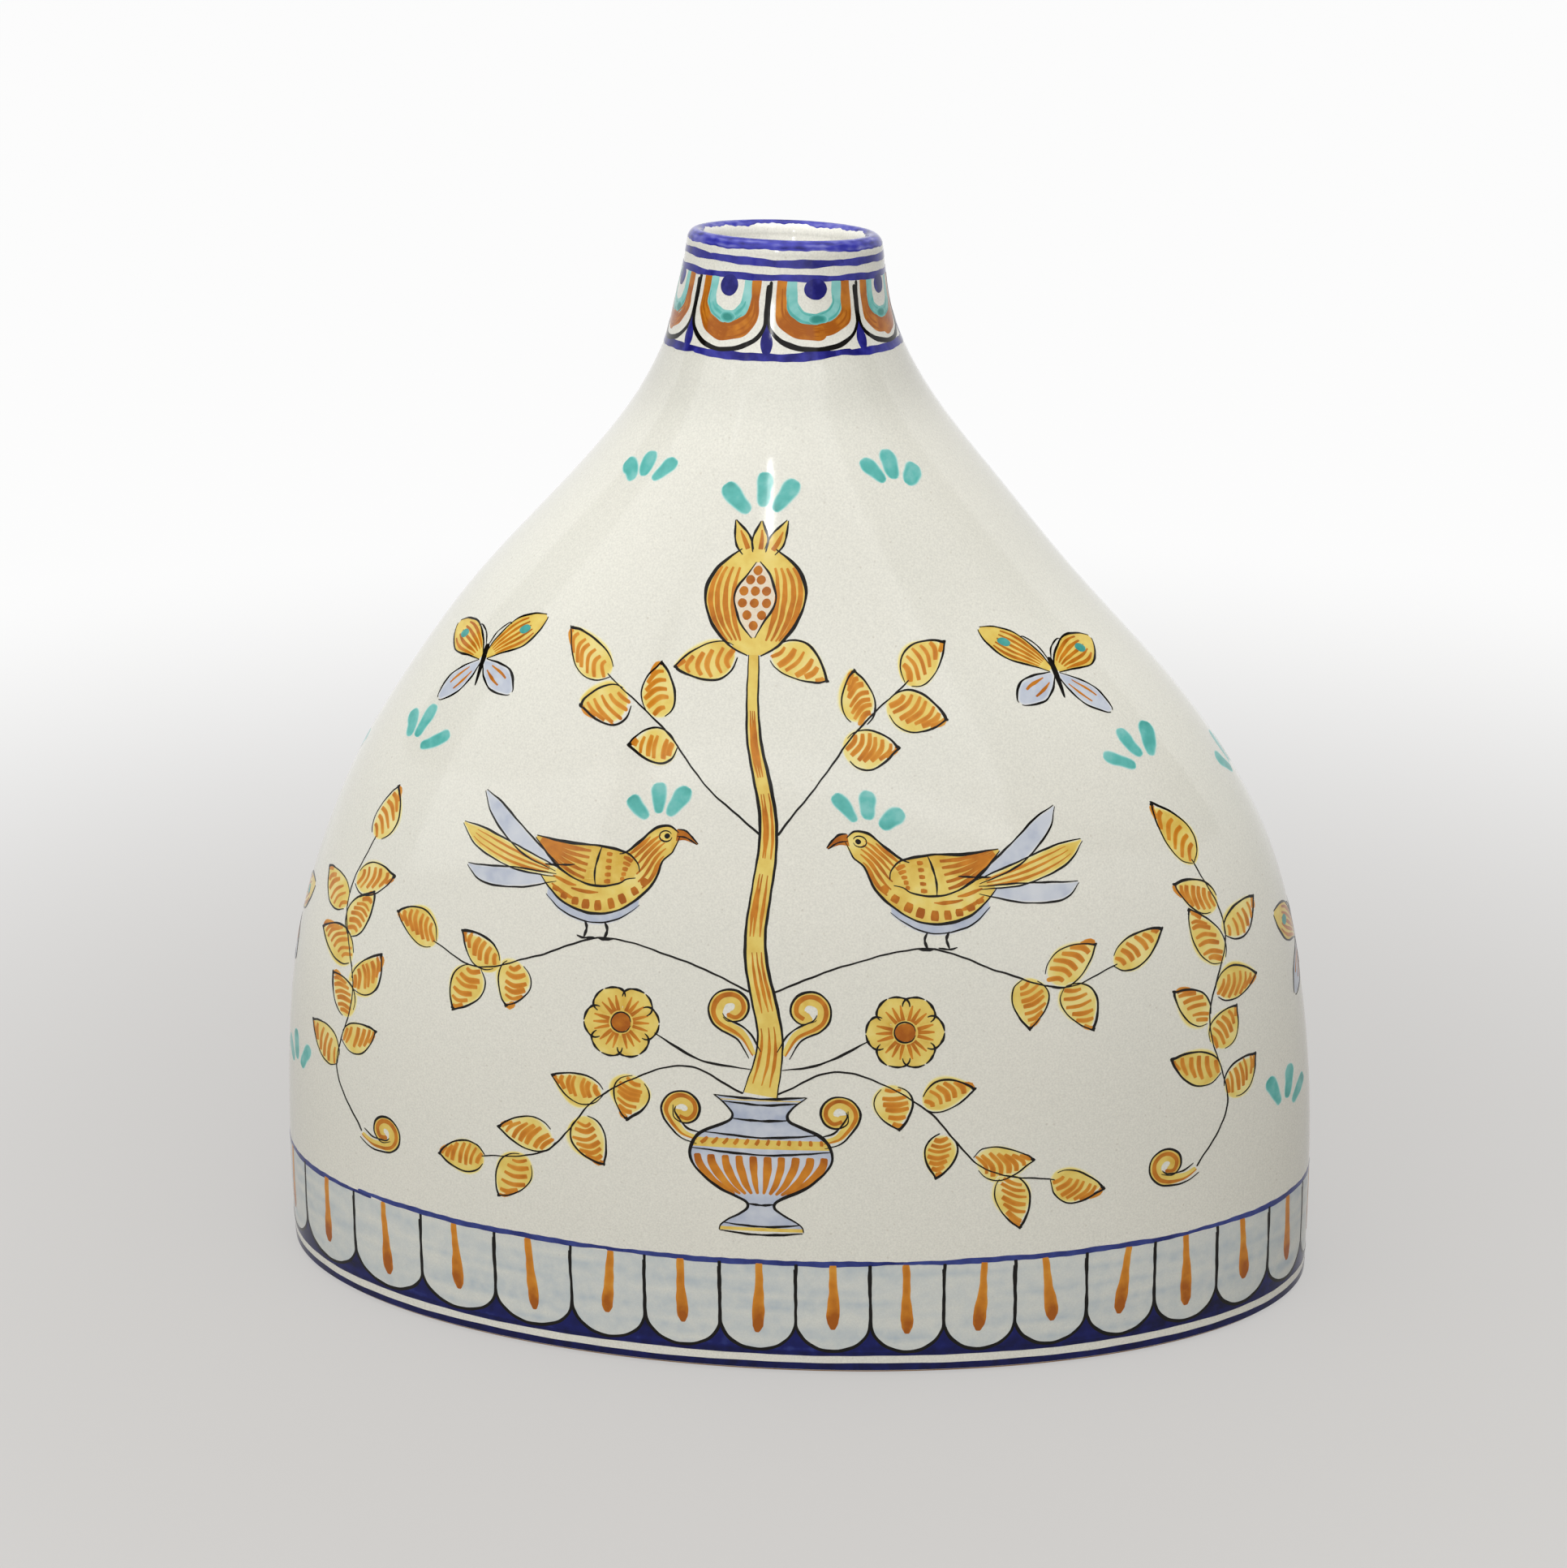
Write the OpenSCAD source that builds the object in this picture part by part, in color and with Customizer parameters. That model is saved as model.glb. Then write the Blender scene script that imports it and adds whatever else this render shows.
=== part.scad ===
// Flattened earthenware flask vase: an oval body pressed in two halves, a floor slab,
// a round neck collar and the tin glaze coats outside and inside.
// The outline is drawn on the glazed outside, and every other face is measured in from it.

/* [Body] */
// Outside width of the body at the foot
body_w = 305; // [280:1:330]
// Outside depth of the body at the foot, front to back
body_d = 150; // [120:1:190]
// Height of the joint between body and neck
body_h = 270; // [258:1:285]
// Thickness of the pressed body wall, measured level
wall_t = 5.5; // [4:0.5:8]
// Thickness of the floor slab
floor_t = 8; // [7:0.5:12]
// Radius that rounds the lower edge of the foot
foot_round = 4; // [3:0.5:5]

/* [Shoulder] */
// Width of the outline where it turns from round to hollow
shoulder_w = 151; // [130:1:170]
// Height of that turn
shoulder_h = 216; // [205:1:228]
// Lean of the shoulder from upright at that turn, in degrees
shoulder_lean = 42; // [36:0.5:46]
// Pull of the upright side of the belly
belly_pull = 119; // [90:1:140]
// Pull of the belly towards the shoulder
brow_pull = 79; // [60:1:95]
// Pull of the shoulder towards the neck
slope_pull = 40; // [25:1:50]
// Pull of the hollow at the neck joint
hollow_pull = 18; // [10:1:25]
// How far out from the neck the plan stays about round
collar_blend = 8; // [3:0.5:14]

/* [Neck] */
// Height of the neck from its joint to the top of the lip
neck_h = 30; // [24:1:45]
// Outside diameter at the joint
collar_d = 66; // [58:0.5:74]
// Lean of the neck from upright at the joint, in degrees
collar_lean = 26; // [18:1:32]
// Outside diameter just under the lip
mouth_d = 52; // [46:0.5:56]
// Lean of the neck from upright under the lip, in degrees
mouth_lean = 8; // [2:1:14]
// Clear diameter of the opening
bore_d = 41.2; // [34:0.2:44]
// Pull of the hollow above the joint
neck_pull = 8; // [4:0.5:11]
// Pull of the straight stretch under the lip
lip_pull = 10; // [4:0.5:12]

/* [Glaze] */
// Thickness of the glaze coat
glaze_t = 0.5; // [0.4:0.1:0.8]
// How far round the foot's curve the glaze was wiped back to, in degrees
glaze_stop = 50; // [20:1:52]

/* [Smoothness] */
// Flat facets round the body
columns = 56; // [32:4:64]
// Rows of facets up the belly
belly_rows = 11; // [8:1:13]
// Rows of facets up the shoulder
shoulder_rows = 8; // [6:1:10]

/* [Hidden] */
$fn = 96;
clay = "#b98d6b";
white_glaze = "#e9e6d9";
inside_glaze = "#dedbcd";
foot_rows = 4;
neck_rows = 10;
lip_rows = 12;
quarter_turn = 90;
half_turn = 180;
full_turn = 360;
collar_r = collar_d / 2;
clay_in = glaze_t + wall_t;
inside_in = clay_in + glaze_t;
lip_round = (mouth_d - bore_d) / 4;
lip_mid = (mouth_d + bore_d) / 4;
lip_z = body_h + neck_h - lip_round;

// Point on a curve with two end points and two pull points
function curve(a, b, c, d, t) =
    pow(1 - t, 3) * a + 3 * t * pow(1 - t, 2) * b + 3 * pow(t, 2) * (1 - t) * c + pow(t, 3) * d;

// Step along a line that leans inwards from upright as it rises
function leaning(angle, pull) = pull * [-sin(angle), cos(angle)];

// Outline of the glazed outside, as half width and height
foot_top = [body_w / 2, floor_t];
shoulder = [shoulder_w / 2, shoulder_h];
joint = [collar_r, body_h];
belly_line = [for (i = [0 : belly_rows])
    curve(foot_top, foot_top + [0, belly_pull], shoulder - leaning(shoulder_lean, brow_pull),
          shoulder, i / belly_rows)];
shoulder_line = [for (i = [1 : shoulder_rows])
    curve(shoulder, shoulder + leaning(shoulder_lean, slope_pull),
          joint - leaning(collar_lean, hollow_pull), joint, i / shoulder_rows)];
body_line = concat(belly_line, shoulder_line);
above_floor = [for (i = [1 : len(body_line) - 1]) body_line[i]];

// Half depth that goes with a half width: a long oval low down, round where the neck joins
flatness = (body_d / 2 - collar_r - collar_blend) / (body_w / 2 - collar_r - collar_blend);
function half_depth(half_w) =
    let (reach = half_w - collar_r)
    collar_r + flatness * reach + (1 - flatness) * collar_blend * (1 - exp(-reach / collar_blend));

// Oval ring as half width, half depth and height, set in from the glazed outside
function ring(point, inset) = [point.x - inset, half_depth(point.x) - inset, point.y];
function rings(line, inset) = [for (point = line) ring(point, inset)];

// Angles below level round the foot's rounded edge, glazed ones first
glazed_angles = [for (i = [0 : foot_rows]) glaze_stop * i / foot_rows];
bare_angles = [for (i = [1 : foot_rows]) glaze_stop + (quarter_turn - glaze_stop) * i / foot_rows];

// Rings round that edge, set in from the glazed outside
function foot_rings(angles, inset) =
    let (radius = foot_round + glaze_t - inset)
    [for (angle = angles)
        let (reach = foot_round + glaze_t - radius * cos(angle))
        [body_w / 2 - reach, body_d / 2 - reach, foot_round - radius * sin(angle)]];

function backwards(list) = [for (i = [len(list) - 1 : -1 : 0]) list[i]];

// Outside of the neck from the joint to the lip, set in from the glazed outside
function neck_line(inset) =
    let (foot = joint - [inset, 0], top = [mouth_d / 2 - inset, lip_z])
    [for (i = [0 : neck_rows])
        curve(foot, foot + leaning(collar_lean, neck_pull),
              top - leaning(mouth_lean, lip_pull), top, i / neck_rows)];

// Half round of the lip, from outside to inside
function lip_line(inset) =
    [for (i = [1 : lip_rows])
        let (angle = half_turn * i / lip_rows)
        [lip_mid + (lip_round - inset) * cos(angle), lip_z + (lip_round - inset) * sin(angle)]];

// Skin of triangles between oval rings, all the way round
// An open chain of rings is capped flat at both ends, and a loop runs back to its first ring
module turned(ring_list, loop) {
    count = len(ring_list);
    last = loop ? count - 1 : count - 2;
    points = [for (r = ring_list, j = [0 : columns - 1])
        let (angle = full_turn * j / columns)
        [r.x * cos(angle), r.y * sin(angle), r.z]];
    sides = [for (i = [0 : last], j = [0 : columns - 1])
        let (up = (i + 1) % count, next = (j + 1) % columns)
        each [[i * columns + j, up * columns + j, up * columns + next],
              [i * columns + j, up * columns + next, i * columns + next]]];
    bottom = [for (j = [0 : columns - 1]) j];
    top = [for (j = [columns - 1 : -1 : 0]) (count - 1) * columns + j];
    polyhedron(points, loop ? sides : concat(sides, [bottom, top]), convexity = 6);
}

// Half of a loop of rings, closed with a flat seam at each side
module half_turned(ring_list, start) {
    count = len(ring_list);
    steps = columns / 2;
    row = steps + 1;
    points = [for (r = ring_list, j = [0 : steps])
        let (angle = start + half_turn * j / steps)
        [r.x * cos(angle), r.y * sin(angle), r.z]];
    sides = [for (i = [0 : count - 1], j = [0 : steps - 1])
        let (up = (i + 1) % count)
        each [[i * row + j, up * row + j, up * row + j + 1],
              [i * row + j, up * row + j + 1, i * row + j + 1]]];
    first_seam = [for (i = [0 : count / 2 - 2])
        let (low = (count - 1 - i) * row, high = low - row)
        each [[low, high, (i + 1) * row], [low, (i + 1) * row, i * row]]];
    last_seam = [for (face = first_seam) [face[2] + steps, face[1] + steps, face[0] + steps]];
    polyhedron(points, concat(sides, first_seam, last_seam), convexity = 6);
}

// Half of the pressed wall, standing on the floor slab
module pressed_half(start) {
    color(clay)
        half_turned(concat(rings(body_line, glaze_t), backwards(rings(body_line, clay_in))), start);
}

module base_slab() {
    color(clay)
        turned(concat(backwards(foot_rings(concat(glazed_angles, bare_angles), glaze_t)),
                      [ring(foot_top, glaze_t)]), false);
}

module front_wall() {
    pressed_half(half_turn);
}

module back_wall() {
    pressed_half(0);
}

module neck_collar() {
    color(clay)
        rotate_extrude()
            polygon(concat(neck_line(glaze_t), lip_line(glaze_t), [joint - [clay_in, 0]]));
}

module body_glaze() {
    color(white_glaze)
        turned(concat(backwards(foot_rings(glazed_angles, 0)), rings(body_line, 0),
                      backwards(rings(body_line, glaze_t)), foot_rings(glazed_angles, glaze_t)), true);
}

module neck_glaze() {
    color(white_glaze)
        rotate_extrude()
            polygon(concat(neck_line(0), lip_line(0), [joint - [inside_in, 0], joint - [clay_in, 0]],
                           backwards(lip_line(glaze_t)), backwards(neck_line(glaze_t))));
}

module inner_glaze() {
    color(inside_glaze)
        turned(concat(rings(body_line, clay_in), backwards(rings(above_floor, inside_in)),
                      [ring(foot_top + [0, glaze_t], inside_in)]), false);
}

base_slab();
front_wall();
back_wall();
neck_collar();
body_glaze();
neck_glaze();
inner_glaze();
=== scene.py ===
# %% [markdown]
# # A painted tin-glazed flask vase
#
# The vase is a flattened oval pot of buff earthenware under a thick white tin glaze. Bands on the neck and
# the foot and a spreading tree in the field are painted on the raw glaze with metal oxides, and the colours
# melt into the glaze in the fire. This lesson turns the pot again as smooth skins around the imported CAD
# model, lays each brush stroke on it as a thin sheet that follows the surface, and then lights it like a
# studio shot. Lengths are in millimetres until a mesh is made, as a potter would measure them.

# %% Load the frame
import math
import bpy
import numpy as np
from mathutils import Matrix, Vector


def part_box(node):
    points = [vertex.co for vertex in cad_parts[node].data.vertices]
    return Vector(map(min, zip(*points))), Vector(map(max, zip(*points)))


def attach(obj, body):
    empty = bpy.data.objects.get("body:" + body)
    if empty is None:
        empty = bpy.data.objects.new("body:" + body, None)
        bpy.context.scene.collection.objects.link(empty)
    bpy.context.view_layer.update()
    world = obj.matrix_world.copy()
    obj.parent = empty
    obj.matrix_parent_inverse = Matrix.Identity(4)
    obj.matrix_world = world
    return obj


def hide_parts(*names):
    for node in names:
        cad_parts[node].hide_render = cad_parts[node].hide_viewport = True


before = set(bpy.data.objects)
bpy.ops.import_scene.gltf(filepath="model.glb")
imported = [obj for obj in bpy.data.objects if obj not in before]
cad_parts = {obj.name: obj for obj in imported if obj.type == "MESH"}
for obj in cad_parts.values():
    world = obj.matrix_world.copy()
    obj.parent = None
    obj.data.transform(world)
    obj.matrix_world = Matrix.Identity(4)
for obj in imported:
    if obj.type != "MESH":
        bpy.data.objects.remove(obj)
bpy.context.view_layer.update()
MM = 0.001

# %% [markdown]
# ## The outline
#
# A potter would cut a template of the half outline and turn the mould with it. The template here is three
# smooth curves: the belly, the shoulder and the neck, then a half round for the lip. Its main sizes come from
# the boxes of the CAD nodes, and the pulls of the curves repeat the rule that the solids follow. A smooth
# formula gives a finer skin than subdividing the CAD facets, which would keep their flats.

# %% Sizes of the pot
def box_of(node):
    """Lowest and highest corner of a CAD node in millimetres."""
    low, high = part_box(node)
    return np.array(low) / MM, np.array(high) / MM


body_high = box_of("body_glaze")[1]
neck_low, neck_high = box_of("neck_glaze")
body_half_width = body_high[0]
body_half_depth = body_high[1]
collar_radius = neck_high[0]
joint_height = neck_low[2]
total_height = neck_high[2]
floor_thickness = box_of("base_slab")[1][2]
mouth_radius = 26.0
bore_radius = 20.6
shoulder_point = np.array([75.5, 216.0])
foot_round = 1.8
glaze_end = 1.5
glaze_thickness = 0.5
wall_thickness = 5.5
inside_in = wall_thickness + 2 * glaze_thickness
print("body", body_half_width, body_half_depth, "joint at", joint_height, "top at", total_height)


# %% Curves
def leaning(degrees, pull):
    """A step along a line that leans inwards from upright."""
    lean = math.radians(degrees)
    return pull * np.array([-math.sin(lean), math.cos(lean)])


def curve(start, start_pull, end_pull, end, count):
    """Points on a curve with two ends and two pulls."""
    t = np.linspace(0, 1, count)[:, None]
    rest = 1 - t
    return rest ** 3 * start + 3 * t * rest ** 2 * start_pull + 3 * t ** 2 * rest * end_pull + t ** 3 * end


def arc(centre, radius, from_degrees, to_degrees, count):
    angles = np.radians(np.linspace(from_degrees, to_degrees, count))
    return centre + radius * np.stack([np.cos(angles), np.sin(angles)], 1)


print("a quarter round in three points:", arc(np.zeros(2), 1.0, 0, 90, 3).round(2).tolist())

# %% Template of the half outline
lip_radius = (mouth_radius - bore_radius) / 2
lip_centre = np.array([(mouth_radius + bore_radius) / 2, total_height - lip_radius])
lip_height = lip_centre[1]
foot_top = np.array([body_half_width, floor_thickness])
joint = np.array([collar_radius, joint_height])
mouth = np.array([mouth_radius, lip_height])
foot_line = np.linspace([body_half_width, glaze_end], foot_top, 30)[:-1]

belly_pull, brow_pull = 119, 79
slope_pull, hollow_pull = 40, 18
neck_pull, lip_pull = 8, 10
shoulder_lean, collar_lean, mouth_lean = 42, 26, 8
belly_line = curve(foot_top, foot_top + [0, belly_pull],
                   shoulder_point - leaning(shoulder_lean, brow_pull), shoulder_point, 900)
shoulder_line = curve(shoulder_point, shoulder_point + leaning(shoulder_lean, slope_pull),
                      joint - leaning(collar_lean, hollow_pull), joint, 500)
neck_line = curve(joint, joint + leaning(collar_lean, neck_pull),
                  mouth - leaning(mouth_lean, lip_pull), mouth, 300)

lip_fullness = 1.4
throat_drop = [2.8, 11]
throat_squeeze = 9
lip_line = lip_centre + arc(np.zeros(2), lip_radius, 0, 180, 120) * [1, lip_fullness]
lip_length = np.hypot(*np.diff(lip_line, axis=0).T).sum()
throat_line = curve(lip_line[-1], lip_line[-1] - throat_drop,
                    joint - [inside_in + throat_squeeze, -throat_squeeze], joint - [inside_in, 0], 120)
outside_line = np.vstack([foot_line, belly_line, shoulder_line[1:], neck_line[1:]])
template = np.vstack([outside_line, lip_line[1:], throat_line[1:]])
print("template points:", len(template))


# %% [markdown]
# ## A height that runs over the lip
#
# Paint needs one number for how far up the pot it sits. Below the lip that is the plain height. Over the lip
# and down inside the neck the height would turn back, so there it goes on growing by the length of the path.
# The plan of the pot changes from round at the neck to a long oval at the foot, as it does in the solids.

# %% Path height and plan
collar_blend = 8.0
flatness = (body_half_depth - collar_radius - collar_blend) / (body_half_width - collar_radius - collar_blend)


def half_depth_of(half_width):
    """Half depth that goes with a half width."""
    reach = np.maximum(half_width - collar_radius, 0)
    rounding = (1 - flatness) * collar_blend * (1 - np.exp(-reach / collar_blend))
    return np.where(half_width > collar_radius, collar_radius + flatness * reach + rounding, half_width)


outside_count = len(outside_line)
path_steps = np.hypot(*np.diff(template, axis=0).T)
path_height = template[:, 1].copy()
path_height[outside_count:] = lip_height + np.cumsum(path_steps[outside_count - 1:])
template_depth = half_depth_of(template[:, 0])
lip_top = lip_height + lip_length / 2
lip_end = lip_height + lip_length
throat_end = path_height[-1]
print("path height: foot", path_height[0], "lip", round(lip_top, 1), "throat", round(throat_end, 1))


# %% [markdown]
# ## The hand of the maker
#
# No thrown or pressed pot is a true oval. This one leans a little to its left at the shoulder and to its
# right at the belly, its mouth tips a touch, and its wall rises and falls by a quarter of a millimetre. All
# skins use the same rule, so they stay nested in each other.

# %% Lean and swell
def eased(value):
    share = np.clip(value, 0, 1)
    return share * share * (3 - 2 * share)


def bell(height, middle, reach):
    """One at a middle height, fading to nothing above and below it."""
    return np.exp(-((height - middle) / reach) ** 2)


shoulder_sway, belly_sway, mouth_sway = -2.3, 1.2, 1.0
shoulder_stretch, belly_stretch = (207, 24), (130, 30)
mouth_sway_from = 280
wall_wave, waves_round = 0.25, 3
wave_from, wave_over = 12, 40
wave_twist, wave_length = 29, 41
mouth_tip, mouth_tilt = -0.042, -0.02


def turned(half_width, half_depth, height, angle):
    """Points of the pot as it came from the hand. The angle runs round from the front."""
    sway = shoulder_sway * bell(height, *shoulder_stretch) + belly_sway * bell(height, *belly_stretch)
    sway = sway + mouth_sway * eased((height - mouth_sway_from) / 20)
    rising = eased((height - wave_from) / wave_over)
    round_wave = np.sin(waves_round * angle + height / wave_twist + 1)
    swell = wall_wave * rising * round_wave * np.sin(height / wave_length + 0.4)
    x = (half_width + swell) * np.sin(angle) + sway
    y = -(half_depth + swell) * np.cos(angle)
    tip = mouth_tip * eased((height - joint_height) / 20)
    tilt = mouth_tilt * eased((height - joint_height - 16) / 14)
    return np.stack([x, y, height + tip * x + tilt * y], -1)


print("sway at the shoulder", shoulder_sway, "mm and at the belly", belly_sway, "mm")


# %% Points and normals
def outline_at(height):
    """Half width, half depth and plain height at a path height."""
    columns = (template[:, 0], template_depth, template[:, 1])
    return tuple(np.interp(height, path_height, column) for column in columns)


def on_pot(angle, height):
    half_width, half_depth, level = outline_at(height)
    return turned(half_width, half_depth, level, angle)


small_turn, small_rise = 0.0005, 0.05


def normal_on_pot(angle, height):
    aside = on_pot(angle + small_turn, height) - on_pot(angle - small_turn, height)
    upward = on_pot(angle, height + small_rise) - on_pot(angle, height - small_rise)
    normal = np.cross(aside, upward)
    return normal / np.linalg.norm(normal, axis=-1, keepdims=True)


print("front of the belly at", on_pot(np.array([0.0]), np.array([100.0])).round(1))


# %% [markdown]
# ## Materials
#
# One small function adds a node with its settings and its links, so each material reads as a recipe. Colours
# are written as sRGB hex values, as a paint chart gives them, and turned to the linear light that Blender
# uses. Patterns are given by their real size in millimetres.

# %% Node helper and colours
def add(tree, kind, sockets=None, **settings):
    made = tree.nodes.new(kind)
    for name, value in settings.items():
        setattr(made, name, value)
    for socket, value in (sockets or {}).items():
        if isinstance(value, bpy.types.NodeSocket):
            tree.links.new(value, made.inputs[socket])
        else:
            made.inputs[socket].default_value = value
    return made


def linear(hex_colour):
    parts = [int(hex_colour[i:i + 2], 16) / 255 for i in (1, 3, 5)]
    return [part / 12.92 if part <= 0.04045 else ((part + 0.055) / 1.055) ** 2.4 for part in parts] + [1.0]


def per_mm(size):
    """Texture scale that gives a pattern a size in millimetres."""
    return 1 / (size * MM)


def new_material(name):
    made = bpy.data.materials.new(name)
    made.use_nodes = True
    made.node_tree.nodes.clear()
    return made, made.node_tree


warm_white, cool_white = "#E9E7DC", "#E3E3D9"
print("warm white in linear light:", [round(part, 3) for part in linear(warm_white)[:3]])

# %% [markdown]
# ### White tin glaze
#
# Tin oxide makes a lead glaze opaque and creamy. Close up it is not one white: it clouds slowly from warm to
# cool where it lies thicker or thinner, carries a fine grain, and is peppered with specks of iron from the
# clay. The fired surface is glass, so it has the gloss of glass over a faint orange peel. In the hollow under
# the neck the colour greys towards the neck line, partly a greyer glaze and partly painted shade. The inside
# coat is painted whiter than the outside, a painted lift of light for the shaded throat.

# %% Ground of the tin glaze
neck_line_height = 273.3
# Painted shade under the neck, partly a greyer glaze: the colour greys by up to a tenth between these
# heights.
hollow_from, hollow_full = 251.0, 266.0
hollow_shade_depth = 0.1


def painted_hollow_shade(tree, place):
    """Painted shade that sinks towards the neck line and ends under it, partly a greyer glaze there."""
    height = add(tree, "ShaderNodeSeparateXYZ", {"Vector": place}).outputs["Z"]
    below = add(tree, "ShaderNodeMapRange",
                {"Value": height, "From Min": hollow_from * MM, "From Max": hollow_full * MM,
                 "To Min": 0.0, "To Max": hollow_shade_depth}, interpolation_type="SMOOTHSTEP")
    neck = add(tree, "ShaderNodeMath", {0: height, 1: neck_line_height * MM}, operation="LESS_THAN")
    thin = add(tree, "ShaderNodeMath", {0: below.outputs["Result"], 1: neck.outputs["Value"]},
               operation="MULTIPLY")
    left = add(tree, "ShaderNodeMath", {0: 1.0, 1: thin.outputs["Value"]}, operation="SUBTRACT")
    return left.outputs["Value"]


def glaze_ground(tree, warm=warm_white, cool=cool_white):
    """Colour of the bare glaze: clouds, grain and specks."""
    place = add(tree, "ShaderNodeTexCoord").outputs["Object"]
    clouds = add(tree, "ShaderNodeTexNoise", {"Vector": place, "Scale": per_mm(55), "Detail": 3.0})
    cream = add(tree, "ShaderNodeMix",
                {"Factor": clouds.outputs["Fac"], "A": linear(warm), "B": linear(cool)}, data_type="RGBA")
    grain = add(tree, "ShaderNodeTexNoise", {"Vector": place, "Scale": per_mm(0.5), "Detail": 2.0})
    grain_shade = add(tree, "ShaderNodeMapRange",
                      {"Value": grain.outputs["Fac"], "From Min": 0.3, "From Max": 0.7,
                       "To Min": 0.91, "To Max": 1.06})
    cells = add(tree, "ShaderNodeTexVoronoi", {"Vector": place, "Scale": per_mm(1.9)})
    speck_size = add(tree, "ShaderNodeSeparateColor", {"Color": cells.outputs["Color"]})
    reach = add(tree, "ShaderNodeMapRange",
                {"Value": speck_size.outputs["Red"], "From Min": 0.55, "From Max": 1.0,
                 "To Min": 0.0, "To Max": 0.17})
    inside = add(tree, "ShaderNodeMath", {0: reach.outputs["Result"], 1: cells.outputs["Distance"]},
                 operation="SUBTRACT")
    speck = add(tree, "ShaderNodeMapRange",
                {"Value": inside.outputs["Value"], "From Min": -0.06, "From Max": 0.06,
                 "To Min": 0.0, "To Max": 0.2})
    # The grain times the painted shade of the hollow under the neck.
    shade = add(tree, "ShaderNodeMath",
                {0: grain_shade.outputs["Result"], 1: painted_hollow_shade(tree, place)}, operation="MULTIPLY")
    shaded = add(tree, "ShaderNodeVectorMath",
                 {0: cream.outputs["Result"], "Scale": shade.outputs["Value"]}, operation="SCALE")
    speckled = add(tree, "ShaderNodeMix",
                   {"Factor": speck.outputs["Result"], "A": shaded.outputs["Vector"],
                    "B": linear("#8C7A5E")}, data_type="RGBA")
    return place, speckled.outputs["Result"]


print("glaze greys by", hollow_shade_depth, "from", hollow_from, "to", hollow_full, "mm")


# %% Gloss of the tin glaze
def glassy_finish(tree, place, colour, gloss=0.32, coat=0.12):
    """Glass over a colour, with a faint orange peel and fine pores."""
    roughness = 0.09
    peel = add(tree, "ShaderNodeTexNoise", {"Vector": place, "Scale": per_mm(7), "Detail": 1.0})
    pores = add(tree, "ShaderNodeTexNoise", {"Vector": place, "Scale": per_mm(1.1), "Detail": 1.0})
    relief = add(tree, "ShaderNodeMath", {0: pores.outputs["Fac"], 1: 0.12, 2: peel.outputs["Fac"]},
                 operation="MULTIPLY_ADD")
    bump = add(tree, "ShaderNodeBump",
               {"Height": relief.outputs["Value"], "Strength": 0.12, "Distance": 0.25 * MM})
    sheen = add(tree, "ShaderNodeMapRange",
                {"Value": peel.outputs["Fac"], "From Min": 0.3, "From Max": 0.7,
                 "To Min": roughness - 0.02, "To Max": roughness + 0.03})
    glass = add(tree, "ShaderNodeBsdfPrincipled",
                {"Base Color": colour, "Roughness": sheen.outputs["Result"], "IOR": 1.52,
                 "Normal": bump.outputs["Normal"], "Specular IOR Level": gloss,
                 "Coat Weight": coat, "Coat Roughness": 0.03})
    add(tree, "ShaderNodeOutputMaterial", {"Surface": glass.outputs["BSDF"]})


def white_tin_glaze(name, warm, cool):
    made, tree = new_material(name)
    place, colour = glaze_ground(tree, warm, cool)
    glassy_finish(tree, place, colour)
    return made


tin_glaze = white_tin_glaze("white_tin_glaze", warm_white, cool_white)
# The inside glaze is whiter than the outside: a painted lift of light for the shaded throat.
lit_inside_glaze = white_tin_glaze("painted_light_inside_glaze", "#F3F1E8", "#EFEEE4")
print("glaze recipe:", len(tin_glaze.node_tree.nodes), "nodes")


# %% [markdown]
# ### Buff earthenware
#
# The bare clay of the foot is a warm, chalky buff with darker grog in it. Fired earthenware is matt and
# slightly gritty, so the roughness is high and a fine bump breaks the light.

# %% Earthenware recipe
def buff_earthenware():
    made, tree = new_material("buff_earthenware")
    place = add(tree, "ShaderNodeTexCoord").outputs["Object"]
    clouds = add(tree, "ShaderNodeTexNoise", {"Vector": place, "Scale": per_mm(18), "Detail": 4.0})
    body = add(tree, "ShaderNodeMix",
               {"Factor": clouds.outputs["Fac"], "A": linear("#A77B58"), "B": linear("#C39A75")},
               data_type="RGBA")
    grog = add(tree, "ShaderNodeTexVoronoi", {"Vector": place, "Scale": per_mm(1.6)})
    grit = add(tree, "ShaderNodeMapRange",
               {"Value": grog.outputs["Distance"], "From Min": 0.1, "From Max": 0.25,
                "To Min": 0.55, "To Max": 0.0})
    colour = add(tree, "ShaderNodeMix",
                 {"Factor": grit.outputs["Result"], "A": body.outputs["Result"], "B": linear("#6E4A33")},
                 data_type="RGBA")
    fine = add(tree, "ShaderNodeTexNoise", {"Vector": place, "Scale": per_mm(0.7), "Detail": 3.0})
    bump = add(tree, "ShaderNodeBump",
               {"Height": fine.outputs["Fac"], "Strength": 0.5, "Distance": 0.2 * MM})
    clay = add(tree, "ShaderNodeBsdfPrincipled",
               {"Base Color": colour.outputs["Result"], "Roughness": 0.86, "Normal": bump.outputs["Normal"]})
    add(tree, "ShaderNodeOutputMaterial", {"Surface": clay.outputs["BSDF"]})
    return made


earthenware = buff_earthenware()
print("clay recipe:", len(earthenware.node_tree.nodes), "nodes")


# %% [markdown]
# ## The skins of the pot
#
# Each skin is a loft: a list of oval rings, each with its half width, half depth and height, joined by quads.
# A spin modifier would only give round rings, and this pot is oval, so the points are worked out ring by
# ring.

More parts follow.
